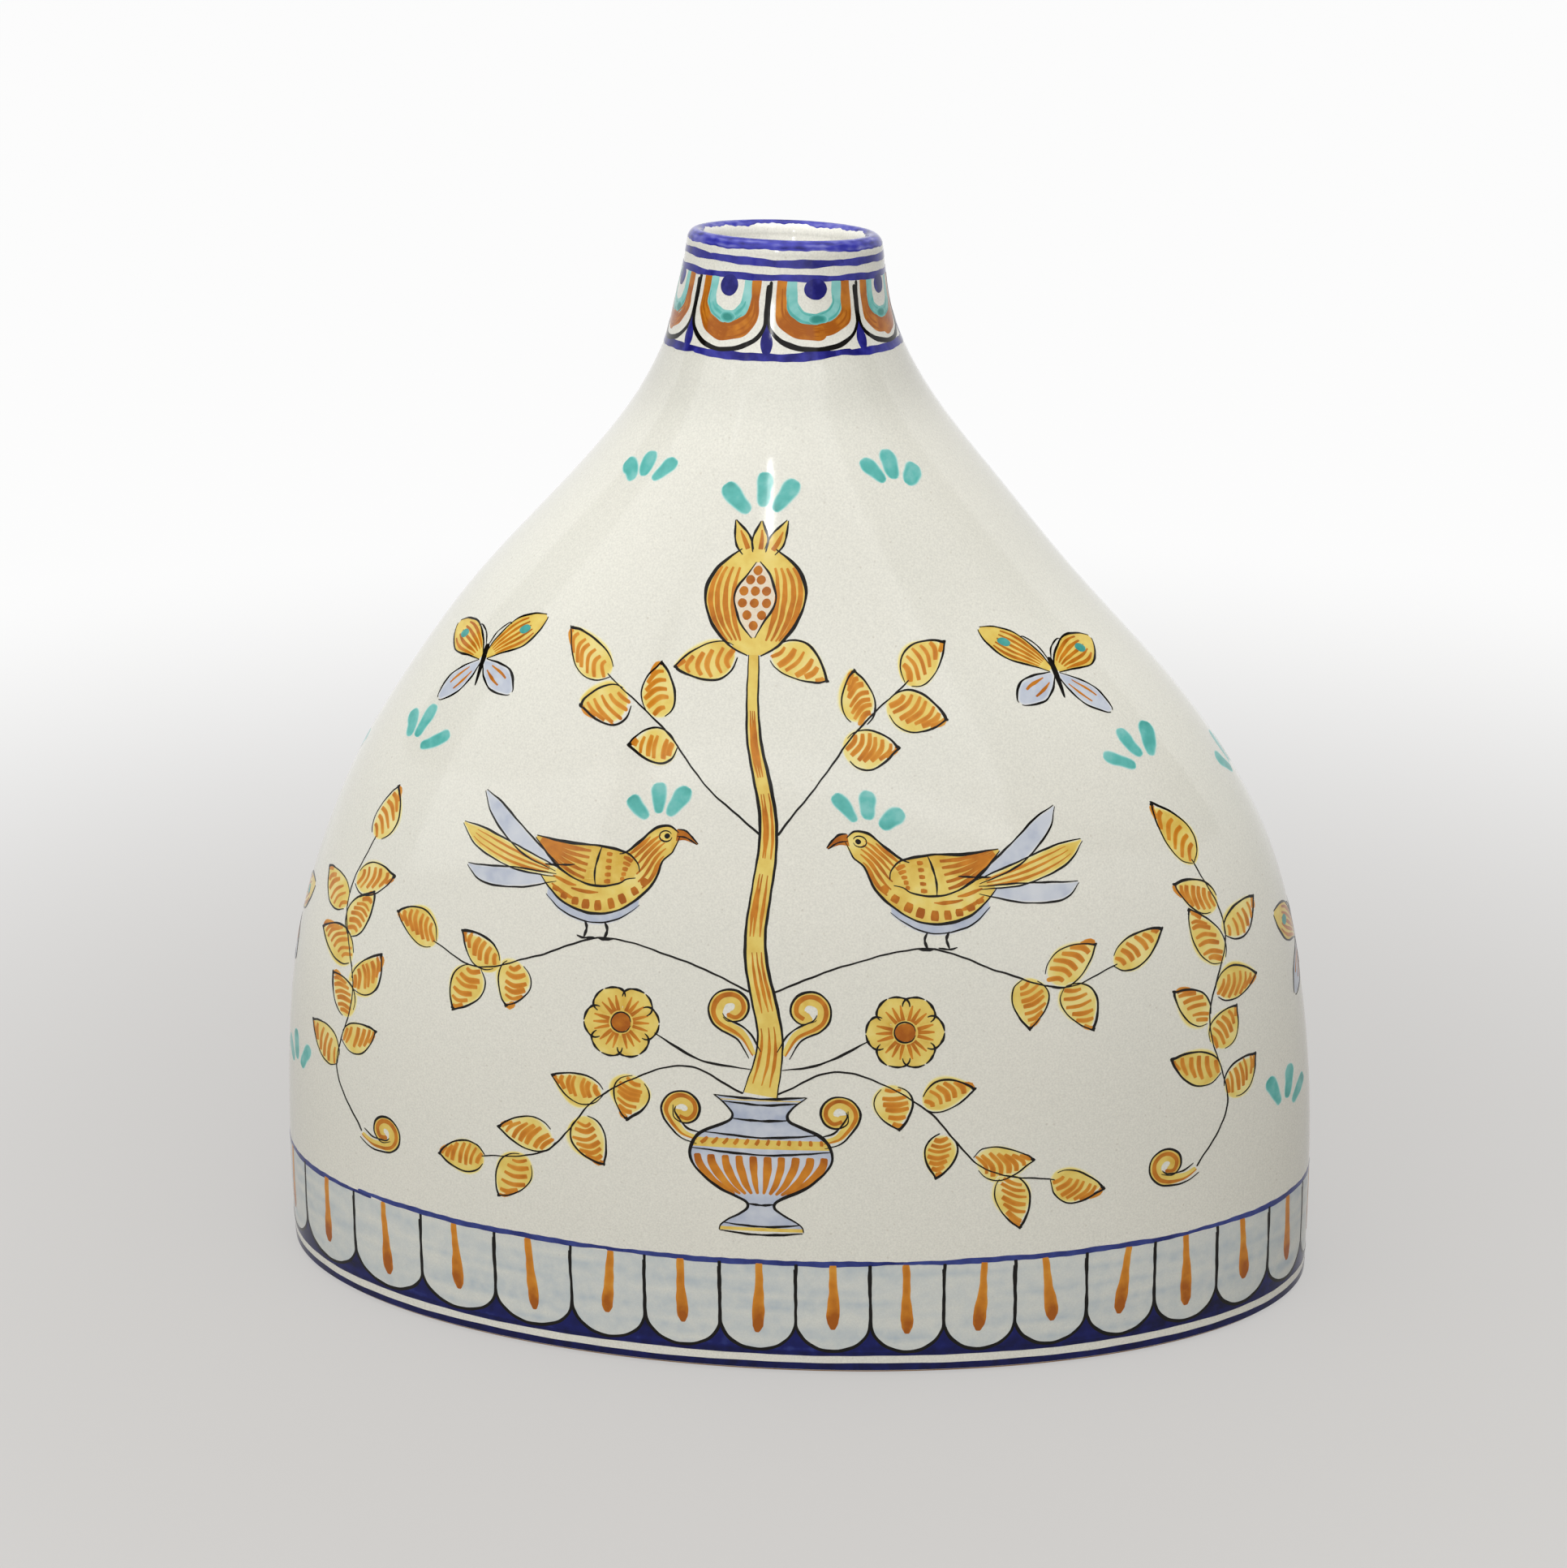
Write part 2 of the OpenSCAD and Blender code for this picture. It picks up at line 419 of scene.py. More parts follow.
# %% Loft of oval rings
def new_piece(name, points, faces, material):
    """A smooth mesh of points in millimetres, which rides on the pot's one body."""
    mesh = bpy.data.meshes.new(name)
    mesh.from_pydata(points * MM, [], faces)
    mesh.validate()
    mesh.shade_smooth()
    mesh.materials.append(material)
    piece = bpy.data.objects.new(name, mesh)
    bpy.context.scene.collection.objects.link(piece)
    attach(piece, "root")
    return piece


def ring_points(rings, angles):
    return turned(rings[:, 0, None], rings[:, 1, None], rings[:, 2, None], angles).reshape(-1, 3)


def loft(name, rings, columns, material, loop=False, caps=False):
    """Quads between rings. A loop runs back to the first ring, and caps close both ends."""
    angles = np.linspace(-math.pi, math.pi, columns, endpoint=False)
    rows = len(rings)
    starts = [(row * columns, (row + 1) % rows * columns) for row in range(rows if loop else rows - 1)]
    faces = [[low + j, low + (j + 1) % columns, high + (j + 1) % columns, high + j]
             for low, high in starts for j in range(columns)]
    if caps:
        faces.append(list(range(columns))[::-1])
        faces.append(list(range((rows - 1) * columns, rows * columns)))
    return new_piece(name, ring_points(rings, angles), faces, material)


def template_rings(heights, inset=0.0):
    half_width, half_depth, level = outline_at(heights)
    return np.stack([half_width - inset, half_depth - inset, level], 1)


print("widest ring:", template_rings(np.array([glaze_end])).round(1))

# %% [markdown]
# ### Outside glaze
#
# One coat runs from the wiped edge at the foot over the body, the neck and the lip, and ends under the blue
# of the rim. Rows lie closer together on the lip, where the curve is tight. The first rings round the glaze
# edge in against the clay.

# %% Make the outside glaze
around = 312
glaze_seam = lip_top + 1.5
outside_rows = np.concatenate([np.linspace(glaze_end, joint_height, 212)[:-1],
                               np.linspace(joint_height, lip_height, 36)[:-1],
                               np.linspace(lip_height, glaze_seam, 26)])
edge_rings = [[body_half_width - inset, body_half_depth - inset, glaze_end - drop]
              for inset, drop in ((glaze_thickness, 0.2), (0.3, 0.22), (0.08, 0.12))]
glaze_rings = np.vstack([edge_rings, template_rings(outside_rows)])
glaze_outside = loft("glaze_outside", glaze_rings, around, tin_glaze)
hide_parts("body_glaze", "neck_glaze")
print("outside glaze:", len(glaze_outside.data.polygons), "faces")

# %% [markdown]
# ### Inside glaze and clay
#
# The inside coat starts just over the rim, follows the throat and the wall down and covers the floor. The
# clay under the glaze is built as the potter joined it: a floor slab with its rounded bare edge, two pressed
# halves with upright seams, and a neck ring.

# %% Make the inside glaze
throat_rows = np.concatenate([np.linspace(glaze_seam, lip_end, 16)[:-1],
                              np.linspace(lip_end, throat_end, 30)])
inside_rows = np.linspace(joint_height, floor_thickness + 3, 90)[1:]
inside_wall = np.vstack([template_rings(throat_rows), template_rings(inside_rows, inside_in)])
floor_shares = np.concatenate([np.linspace(1, 0.1, 12), [0.01]])
floor_ring = template_rings(np.array([floor_thickness]), inside_in)[0]
inside_floor = [[floor_ring[0] * share, floor_ring[1] * share, floor_thickness + glaze_thickness]
                for share in floor_shares]
inside_rings = np.vstack([inside_wall, inside_floor])
glaze_inside = loft("glaze_inside", inside_rings, around, lit_inside_glaze)
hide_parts("inner_glaze")
print("inside glaze:", len(glaze_inside.data.polygons), "faces")

# %% Make the floor slab
foot_centre = np.array([body_half_width - foot_round - glaze_thickness, foot_round])
bare_arc = arc(foot_centre, foot_round, -90, 0, 16)
slab_line = np.vstack([bare_arc, [[foot_centre[0] + foot_round, floor_thickness]]])
slab_inset = body_half_width - slab_line[:, 0]
slab_rings = np.stack([slab_line[:, 0], body_half_depth - slab_inset, slab_line[:, 1]], 1)
under = [[slab_rings[0, 0] * share, slab_rings[0, 1] * share, 0.0] for share in np.linspace(0.01, 0.99, 24)]
over = [[slab_rings[-1, 0] * share, slab_rings[-1, 1] * share, floor_thickness] for share in (0.6, 0.01)]
foot_clay = loft("foot_clay", np.vstack([under, slab_rings, over]), 200, earthenware, caps=True)
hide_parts("base_slab")
print("floor slab:", len(foot_clay.data.polygons), "faces")


# %% Make the pressed halves
def pressed_half(name, node, first_degrees):
    """Half of the wall, out and back in, closed with a flat seam at each side."""
    heights = np.linspace(floor_thickness, joint_height, 60)
    outer = template_rings(heights, glaze_thickness)
    inner = template_rings(heights[::-1], glaze_thickness + wall_thickness)
    rings = np.vstack([outer, inner])
    angles = np.radians(np.linspace(first_degrees, first_degrees + 180, 61))
    rows, columns = len(rings), len(angles)
    faces = []
    for i in range(rows):
        low, high = i * columns, (i + 1) % rows * columns
        faces += [[low + j, low + j + 1, high + j + 1, high + j] for j in range(columns - 1)]
    for i in range(rows // 2 - 1):
        seam = [k * columns for k in (i, i + 1, rows - 2 - i, rows - 1 - i)]
        faces.append(seam)
        faces.append([k + columns - 1 for k in seam[::-1]])
    half = new_piece(name, ring_points(rings, angles), faces, earthenware)
    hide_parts(node)
    print(name, len(half.data.polygons), "faces")


pressed_half("clay_front", "front_wall", -90)
pressed_half("clay_back", "back_wall", 90)

# %% Make the neck ring
collar_rows = np.linspace(joint_height, lip_height, 24)
collar_outer = template_rings(collar_rows, glaze_thickness)
collar_lip = arc(lip_centre, lip_radius - glaze_thickness, 10, 170, 12)
collar_inner = np.array([joint[0] - glaze_thickness - wall_thickness, joint_height])
collar_rings = np.vstack([collar_outer, collar_lip[:, [0, 0, 1]], [collar_inner[[0, 0, 1]]]])
clay_neck = loft("clay_neck", collar_rings, 96, earthenware, loop=True)
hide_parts("neck_collar")
print("neck ring:", len(clay_neck.data.polygons), "faces")

# %% [markdown]
# ## Drawing on the pot
#
# A painter measures along the surface, so a drawing here is in millimetres on a small flat sheet of paper
# that is wrapped round the pot. Its middle sits at an angle from the front and at a height. Going sideways
# follows the length of the oval, which has no simple formula, so it is summed once into a table for plans
# from long to round.

# %% Table of lengths round an oval
half_way = 1000
plan_steps = 2 * half_way
plan_ratios = np.linspace(0.46, 1.0, 46)
plan_angles = np.linspace(-math.pi, math.pi, plan_steps + 1)
plan_shares = np.linspace(-1, 1, plan_steps + 1)
speeds = np.sqrt(np.cos(plan_angles) ** 2 + (plan_ratios[:, None] * np.sin(plan_angles)) ** 2)
strides = (speeds[:, 1:] + speeds[:, :-1]) / 2 * np.diff(plan_angles)
run_table = np.concatenate([np.zeros((len(plan_ratios), 1)), np.cumsum(strides, axis=1)], axis=1)
run_table -= run_table[:, half_way:half_way + 1]
half_runs = run_table[:, -1]
angle_table = np.array([np.interp(plan_shares * half, runs, plan_angles)
                        for half, runs in zip(half_runs, run_table)])
print("half way round an oval of half width 1:", half_runs[[0, -1]].round(2), "from long to round")


# %% Lengths and angles
def look_up(table, ratio, share):
    """Reads a table between its rows, by plan, and its columns, by the share of the way round."""
    row = np.clip((ratio - plan_ratios[0]) / (plan_ratios[1] - plan_ratios[0]), 0, len(plan_ratios) - 1.001)
    column = np.clip((share + 1) * half_way, 0, plan_steps - 0.001)
    i, j = row.astype(int), column.astype(int)
    above, beyond = row - i, column - j
    low = table[i, j] * (1 - beyond) + table[i, j + 1] * beyond
    high = table[i + 1, j] * (1 - beyond) + table[i + 1, j + 1] * beyond
    return low * (1 - above) + high * above


def wrapped(share):
    return (share + 1) % 2 - 1


def run_at(angle, height):
    """Length round the pot from the front to an angle."""
    half_width, half_depth, _ = outline_at(height)
    return half_width * look_up(run_table, half_depth / half_width, wrapped(angle / math.pi))


def angle_at(run, height):
    half_width, half_depth, _ = outline_at(height)
    ratio = half_depth / half_width
    half = half_width * np.interp(ratio, plan_ratios, half_runs)
    return look_up(angle_table, ratio, wrapped(run / half))


def half_run_at(height):
    """Length half way round the pot. The angle stops just short of the back, where it would wrap."""
    return run_at(np.array([math.pi * 0.999999]), np.array([float(height)]))[0]


foot_half_run = half_run_at(20)
print("half way round the foot:", round(foot_half_run, 1), "mm")


# %% Sheets of paper on the pot
class Paper:
    """A flat drawing sheet wrapped on the pot: x runs round it and y runs up it, in millimetres.

    On a fan, upright lines keep their angle round the pot and heights are level, as in the bands.
    """

    def __init__(self, run, height, turn=0.0, flip=1, size=1.0, fan=False, middle=0.0):
        self.height = float(height)
        level = np.array([self.height])
        self.angle = angle_at(run_at(np.array([middle]), level) + run, level)[0]
        self.fan = fan
        level = np.array([self.height - 0.5, self.height + 0.5])
        slope = np.diff(on_pot(np.full(2, self.angle), level), axis=0)[0]
        self.rise = 1.0 if fan else 1 / np.linalg.norm(slope)
        turn = math.radians(turn)
        self.across = size * flip * np.array([math.cos(turn), math.sin(turn)])
        self.up = size * np.array([-math.sin(turn), math.cos(turn)])

    def to_pot(self, points):
        """Angle and path height of points on the sheet."""
        flat = points[..., :1] * self.across + points[..., 1:] * self.up
        height = self.height + flat[..., 1] * self.rise
        level = np.full(height.shape, self.height) if self.fan else height
        run = run_at(np.full(height.shape, self.angle), level)
        return angle_at(run + flat[..., 0], level), height


print("a millimetre up a sheet at the shoulder climbs", round(Paper(0, 216).rise, 2), "mm")


# %% [markdown]
# ## Colours that melt into the glaze
#
# Each pigment is a metal oxide in water: cobalt for blue, iron and antimony for orange and yellow, copper for
# the blue green, manganese with iron for the dark lines. It is strong where the brush left a pool and thin
# where it was dragged, so every vertex of a stroke carries a number, its strength. The recipe shows the bare
# glaze at no strength, and goes through a thin tint to the full colour. Because thin places share the glaze's
# own recipe, a wash can fade out with no visible edge.

# %% Pigment recipe
def pigment(name, thin, full, pooled, cover=0.3):
    """Three colours by strength. The glaze is hidden from the strength called cover upwards."""
    made, tree = new_material(name)
    place, ground = glaze_ground(tree)
    strength = add(tree, "ShaderNodeAttribute", attribute_name="strength").outputs["Fac"]
    cloud = add(tree, "ShaderNodeTexNoise", {"Vector": place, "Scale": per_mm(3.2), "Detail": 3.0})
    uneven = add(tree, "ShaderNodeMapRange",
                 {"Value": cloud.outputs["Fac"], "From Min": 0.3, "From Max": 0.7,
                  "To Min": 0.82, "To Max": 1.18})
    laid = add(tree, "ShaderNodeMath", {0: strength, 1: uneven.outputs["Result"]}, operation="MULTIPLY")
    tint = add(tree, "ShaderNodeValToRGB", {"Fac": laid.outputs["Value"]})
    steps = tint.color_ramp.elements
    steps[0].position = 0.2
    steps[0].color = linear(thin)
    steps[1].position = 1.0
    steps[1].color = linear(pooled)
    middle = steps.new(0.6)
    middle.color = linear(full)
    hiding = add(tree, "ShaderNodeMapRange",
                 {"Value": laid.outputs["Value"], "From Min": 0.0, "From Max": cover,
                  "To Min": 0.0, "To Max": 1.0})
    colour = add(tree, "ShaderNodeMix",
                 {"Factor": hiding.outputs["Result"], "A": ground, "B": tint.outputs["Color"]},
                 data_type="RGBA")
    glassy_finish(tree, place, colour.outputs["Result"], gloss=0.17, coat=0.06)
    return made


cobalt_blue = pigment("cobalt_blue", "#7D7FC2", "#3E3FA6", "#1B1A6C")
dark_cobalt = pigment("dark_cobalt", "#46559E", "#141B60", "#080B36")
iron_orange = pigment("iron_orange", "#E6B04A", "#D08426", "#A65A14")
antimony_yellow = pigment("antimony_yellow", "#F0E6A4", "#E8D070", "#D6AC44")
copper_green = pigment("copper_green", "#A7DBD7", "#63BAB3", "#388F86")
lilac_grey = pigment("lilac_grey", "#DDE0E4", "#CAD0DA", "#A8B2C8")
# The sky wash is the painter's own grey-blue wash, laid deeper as painted shade on the foot band.
sky_wash_and_shade = pigment("sky_wash_and_shade", "#CAD1D0", "#B6C2C9", "#98ACC8", cover=0.6)
manganese_black = pigment("manganese_black", "#6A5C50", "#1A1512", "#0C0A08", cover=0.15)
print("pigment recipe:", len(cobalt_blue.node_tree.nodes), "nodes")

# %% [markdown]
# ### Layers of brushwork
#
# A stroke is a strip of quads between its left and its right edge. It lies a few hundredths of a millimetre
# above the glaze, each colour a little higher than the one below, and its rim dips under the glaze so that it
# ends in a clean line. The strip keeps the pot's own normals, so the gloss runs over it as over one sheet of
# glass.

# %% Layers
rim_width = 0.14
rim_depth = 0.05
stroke_step, level_step = 0.002, 0.009


class Layer:
    """Strokes of one colour in one region, gathered into one mesh."""

    def __init__(self, name, material, lift):
        self.name = name
        self.material = material
        self.lift = lift
        self.points, self.normals, self.strengths, self.faces = [], [], [], []
        self.count = 0
        self.strokes = 0

    def spread(self, angle, height, strength, level=0):
        """Adds a grid of places on the pot. Its border dips under the glaze.

        A level lies over the one before it, and strokes of one level lie a hair apart where they cross.
        """
        rows, columns = angle.shape
        lift = np.full(angle.shape, self.lift + stroke_step * (self.strokes % 4) + level_step * level)
        lift[[0, -1], :] = -rim_depth
        lift[:, [0, -1]] = -rim_depth
        normals = normal_on_pot(angle, height).reshape(-1, 3)
        points = on_pot(angle, height).reshape(-1, 3) + normals * lift.reshape(-1, 1)
        corner = np.arange(rows - 1)[:, None] * columns + np.arange(columns - 1)
        faces = np.stack([corner, corner + 1, corner + columns + 1, corner + columns], -1).reshape(-1, 4)
        a, b, c, d = [points[faces[:, k]] for k in range(4)]
        inward = (np.cross(c - a, d - b) * normals[faces[:, 0]]).sum(1) < 0
        faces[inward] = faces[inward][:, ::-1]
        self.points.append(points)
        self.normals.append(normals)
        self.strengths.append(np.broadcast_to(strength, angle.shape).reshape(-1))
        self.faces.append(faces + self.count)
        self.count += rows * columns
        self.strokes += 1

    def finish(self):
        points, faces = np.vstack(self.points), np.vstack(self.faces)
        mesh = new_piece(self.name, points, faces, self.material).data
        values = mesh.attributes.new("strength", "FLOAT", "POINT")
        values.data.foreach_set("value", np.concatenate(self.strengths).astype(np.float32))
        mesh.normals_split_custom_set_from_vertices(np.vstack(self.normals))
        print(self.name, self.strokes, "strokes", len(mesh.polygons), "faces")


print("the rim of a stroke dips", rim_depth, "mm under the glaze")


# %% [markdown]
# ### The painter's hand
#
# A hand never draws a true line: it wanders slowly and shakes quickly. Three waves of different length, each
# begun at a random point, give that tremor. A fixed seed draws the same pot each time.

# %% Tremor and lines
hand = np.random.default_rng(11)
usual_sum = 1.5


def tremor(distance, swing, lengths=(31, 12, 5)):
    """Waves along a line, the long ones taller. The usual sum of their heights brings them to the swing."""
    total = np.zeros(len(distance))
    for length in lengths:
        total += np.sin(2 * math.pi * (distance / length + hand.random())) * (length / lengths[0]) ** 0.5
    return swing * total / usual_sum


def flowing(points, step):
    """Evenly spaced points on a smooth line through a few given points."""
    points = np.asarray(points, float)
    ends = np.vstack([2 * points[0] - points[1], points, 2 * points[-1] - points[-2]])
    t = np.linspace(0, 1, 20, endpoint=False)[:, None]
    parts = []
    for before, start, end, after in zip(ends, ends[1:], ends[2:], ends[3:]):
        bend = (end - before) * t + (2 * before - 5 * start + 4 * end - after) * t ** 2
        parts.append(start + 0.5 * (bend + (3 * start - before - 3 * end + after) * t ** 3))
    line = np.vstack(parts + [points[-1:]])
    run = np.concatenate([[0], np.cumsum(np.hypot(*np.diff(line[:, :2], axis=0).T))])
    even = np.linspace(0, run[-1], max(5, int(run[-1] / step) + 1))
    return np.stack([np.interp(even, run, column) for column in line.T], 1)


def along(line):
    """Distance travelled at each point of a line, and the direction to its left side."""
    distance = np.concatenate([[0], np.cumsum(np.hypot(*np.diff(line, axis=0).T))])
    ahead = np.gradient(line, axis=0)
    side = np.stack([-ahead[:, 1], ahead[:, 0]], 1) / np.linalg.norm(ahead, axis=1, keepdims=True)
    return distance, side


def between(left, right, share):
    return left * (1 - share) + right * share


def evenly(values, t):
    """Values given at even steps along a stroke, read at each share t of its length."""
    return np.interp(t, np.linspace(0, 1, len(values)), values)


print("a line of 30 mm in steps of 0.5 mm has", len(flowing([(0, 0), (30, 0)], 0.5)), "points")

# %% Fills
widest_quad = 3.0
least_gap = 0.04
wet_shares = (0, 0.12, 0.4, 0.7, 1)


def parted(left, right):
    """Keeps two edges a hair apart where a shape comes to a point, so that no quad shrinks to nothing."""
    middle = (left + right) / 2
    gap = right - left
    _, side = along(middle)
    facing = np.sign((gap * side).sum())
    pointed = np.linalg.norm(gap, axis=1, keepdims=True) < least_gap
    gap = np.where(pointed, facing * least_gap * side, gap)
    return middle - gap / 2, middle + gap / 2


def lay(layer, paper, left, right, strength, soft=0.0, bleed=0.0, least=0.0, level=0):
    """Fills between two edges of as many points, with quads small enough to bend with the pot.

    Soft fades the colour towards both edges, down to the least strength. Bleed lets it run out to nothing
    over some millimetres all round, as a wet wash does.
    """
    left, right = parted(left, right)
    span = np.linalg.norm(right - left, axis=1)
    rim = np.minimum(0.2, rim_width / span)
    shares = np.linspace(0, 1, max(5, math.ceil(span.max() / widest_quad) + 1))[1:-1]
    inner = [rim + (1 - 2 * rim) * share for share in shares]
    across = np.stack([0 * rim, rim, *inner, 1 - rim, 1 + 0 * rim], 1)
    fade = 1 - soft * np.abs(2 * across - 1) ** 2.5
    if bleed:
        wet = np.minimum(0.4, bleed / span)
        half = np.stack([wet * share for share in wet_shares] + [0 * wet + 0.5], 1)
        across = np.hstack([half, 1 - half[:, -2::-1]])
        distance, _ = along((left + right) / 2)
        to_end = np.minimum(distance, distance[-1] - distance)
        fade = eased(np.minimum(across, 1 - across) / wet[:, None]) * eased(to_end / bleed)[:, None]
    points = left[:, None] * (1 - across[..., None]) + right[:, None] * across[..., None]
    strength = np.broadcast_to(np.asarray(strength, float), (len(left),))[:, None] * fade
    layer.spread(*paper.to_pot(points), np.maximum(strength, least), level)


print("fills have quads up to", widest_quad, "mm wide and a rim of", rim_width, "mm")

# %% Strokes and dabs of a brush
least_step, most_step = 0.38, 0.8


def stroke(layer, paper, points, width, profile=(0.5, 1, 1, 0.35), strength=(0.75, 0.95), swing=0.12,
           **wash):
    """One pull of a brush along a line. The profile gives its width from start to end.

    The strength runs from start to end as well, the swing is the hand's tremor, and the ends are round.
    """
    line = flowing(points, max(least_step, min(most_step, width * 0.4)))
    distance, side = along(line)
    length = distance[-1]
    t = distance / length
    line = line + side * tremor(distance, swing)[:, None]
    half = width / 2 * evenly(profile, t) * (1 + tremor(distance, 0.1))
    to_end = np.minimum(distance, length - distance) / np.maximum(half, 0.05)
    half = half * np.sqrt(np.clip(1 - (1 - np.clip(to_end, 0, 1)) ** 2, 0.02, 1))
    shade = evenly(strength, t) * (1 + tremor(distance, 0.1))
    lay(layer, paper, line + side * half[:, None], line - side * half[:, None], shade, **wash)


blob_steps = 41


def blob(layer, paper, centre, radii, strength, **wash):
    """A round dab, laid between its upper and its lower edge."""
    t = np.linspace(0, math.pi, blob_steps)
    wave = 1 + tremor(t * 8, 0.04)
    x = centre[0] - radii[0] * np.cos(t)
    reach = radii[1] * np.sin(t) * wave
    upper, lower = np.stack([x, centre[1] + reach], 1), np.stack([x, centre[1] - reach], 1)
    lay(layer, paper, upper, lower, strength, **wash)


print("points along a stroke lie", least_step, "to", most_step, "mm apart")


# %% [markdown]
# ## The neck
#
# A blue ring covers the lip, two blue lines follow, and below them a row of round eyes hangs down to a fourth
# line. The painter turned the pot on a wheel for the rings, in a few overlapping pulls, so the rings here are
# made of several strokes too. The lip itself is one wide sheet with streaks in it.

# %% Neck layers and lip
neck_blue = Layer("neck_cobalt", cobalt_blue, 0.07)
neck_orange = Layer("neck_orange", iron_orange, 0.06)
neck_green = Layer("neck_copper_green", copper_green, 0.05)
neck_black = Layer("neck_manganese", manganese_black, 0.10)


def ring_sheet(layer, low, high, strength, columns=9):
    """A band all the way round that overlaps itself a little, between two heights that may change."""
    overlap = 0.03
    angles = np.linspace(-math.pi - overlap, math.pi + overlap, len(low))
    shares = np.concatenate([[0, 0.03], np.linspace(0.12, 0.88, columns - 4), [0.97, 1]])
    height = low[:, None] * (1 - shares) + high[:, None] * shares
    layer.spread(np.repeat(angles[:, None], columns, 1), height, strength)


def ring_tremor(count, radius, swing, lengths):
    """A tremor in whole waves, so that a ring meets its own start."""
    angles = np.linspace(-math.pi, math.pi, count)
    total = np.zeros(count)
    for length in lengths:
        waves = max(1, round(2 * math.pi * radius / length))
        total += np.sin(waves * angles + 2 * math.pi * hand.random()) * (length / lengths[0]) ** 0.5
    return swing * total / usual_sum


lip_points = 420
lip_streaks = 11
lip_low = lip_height + 1.3 + ring_tremor(lip_points, mouth_radius, 0.3, (40, 17, 7, 3))
lip_high = lip_top + 2.2 + ring_tremor(lip_points, mouth_radius, 0.55, (33, 14, 6, 2.5))
streaks = [ring_tremor(lip_points, mouth_radius, 0.12, (37, 13, 4)) for _ in range(lip_streaks)]
ring_sheet(neck_blue, lip_low, lip_high, 0.63 + 2.5 * np.stack(streaks, 1), lip_streaks)
print("blue of the lip from", round(lip_low.min(), 1), "to", round(lip_high.max(), 1), "mm")


# %% Rings round the neck
def ring_of_strokes(layer, height, width, pulls, strength=(0.7, 0.85), drift=0.25):
    """A line round the pot in a few pulls that overlap."""
    half_run = half_run_at(height)
    reach = half_run / pulls + 3
    for pull in range(pulls):
        middle = -half_run + (2 * pull + 1) * half_run / pulls
        rise = hand.normal(0, drift, 3)
        points = [(-reach, rise[0]), (-reach / 3, rise[1]), (reach / 3, rise[1]), (reach, rise[2])]
        stroke(layer, Paper(middle, height, fan=True), points, width, (0.5, 1, 0.9, 1, 0.4), strength, 0.15)


ring_of_strokes(neck_blue, 295.9, 2.2, 5)
ring_of_strokes(neck_blue, 292.0, 1.9, 5, drift=0.2)
ring_of_strokes(neck_blue, neck_line_height, 2.3, 5, (0.8, 0.95), 0.3)
print("lip and three rings:", neck_blue.strokes, "strokes")

# %% [markdown]
# ### The eyes
#
# Each eye is a set of nested cups: a dark outline, an orange cup that is fat at the bottom, a blue-green cup
# with a darker pool, and a blue dot under the third line. A blue drop stands in each gap between two
# outlines. Cups are laid between an outer and an inner curve, which keeps their thickness easy to set.

# %% Cups
def cup(half, top, turn, bottom, count=60):
    """Points down one side, round an oval bottom and up the other side."""
    round_part = np.linspace(0, math.pi, count)
    sides = np.linspace(0, 1, 12)[:-1, None]
    left = np.array([-half, top]) * (1 - sides) + np.array([-half, turn]) * sides
    bowl = np.stack([-half * np.cos(round_part), turn - (turn - bottom) * np.sin(round_part)], 1)
    return np.vstack([left, bowl, left[::-1] * [-1, 1]])


def cup_streaks(layer, paper, outer, inner, strength, count):
    """Drags a few darker streaks along a cup."""
    for share in (np.arange(count) + 0.5 + hand.normal(0, 0.12, count)) / count:
        begin = int(len(outer) * hand.uniform(0.0, 0.3))
        end = int(len(outer) * hand.uniform(0.7, 1.0))
        drag = (outer * (1 - share) + inner * share)[begin:end:5]
        stroke(layer, paper, drag, hand.uniform(0.7, 1.5), (0.3, 1, 0.8, 1, 0.3),
               (strength + 0.2, strength + 0.4), 0.1, soft=0.6, least=strength, level=1)


def cup_band(layer, paper, outer, inner, strength, swing, streaks, first=0.0, last=1.0):
    """Fills between two cups, or between a stretch of them that ends round."""
    outer, inner = cup(*outer), cup(*inner)
    stretch = slice(int(first * len(outer)), int(last * len(outer)))
    outer, inner = outer[stretch], inner[stretch]
    distance = np.linspace(0, 50 * (last - first), len(outer))
    outward = (outer - inner) / np.linalg.norm(outer - inner, axis=1, keepdims=True)
    outer = outer + outward * tremor(distance, swing, (19, 8))[:, None]
    inner = inner + outward * tremor(distance, swing, (19, 8))[:, None]
    full_round = 3.5
    to_cut = distance + 2 * full_round
    if last - first < 1:
        to_cut = distance if first > 0 else distance[-1] - distance
    rounding = np.sqrt(np.clip(1 - (1 - np.clip((to_cut + 0.2) / full_round, 0, 1)) ** 2, 0, 1))[:, None]
    outer, inner = between(inner, outer, 0.5 + rounding / 2), between(outer, inner, 0.5 + rounding / 2)
    pooling = 0.86 + 0.3 * (outer[:, 1].max() - outer[:, 1]) / np.ptp(outer[:, 1])
    lay(layer, paper, outer, inner, strength * pooling * (1 + tremor(distance, 0.16, (23, 9, 4))))
    cup_streaks(layer, paper, outer, inner, strength, streaks)


print("a cup's line has", len(cup(11, 8, -1, -8)), "points")


# %% Paint the eyes
eye_middle = 283.0
eye_top, eye_bottom = 291.6 - eye_middle, 274.4 - eye_middle
eye_turn = eye_bottom + 7.4
usual_half = 11.2
eye_edges = np.radians([-91.4, -46.6, -1.6, 48.4, 93, 137, 180, 224, 268.6])
neck_mid_radius = outline_at(np.array([eye_middle]))[0][0]


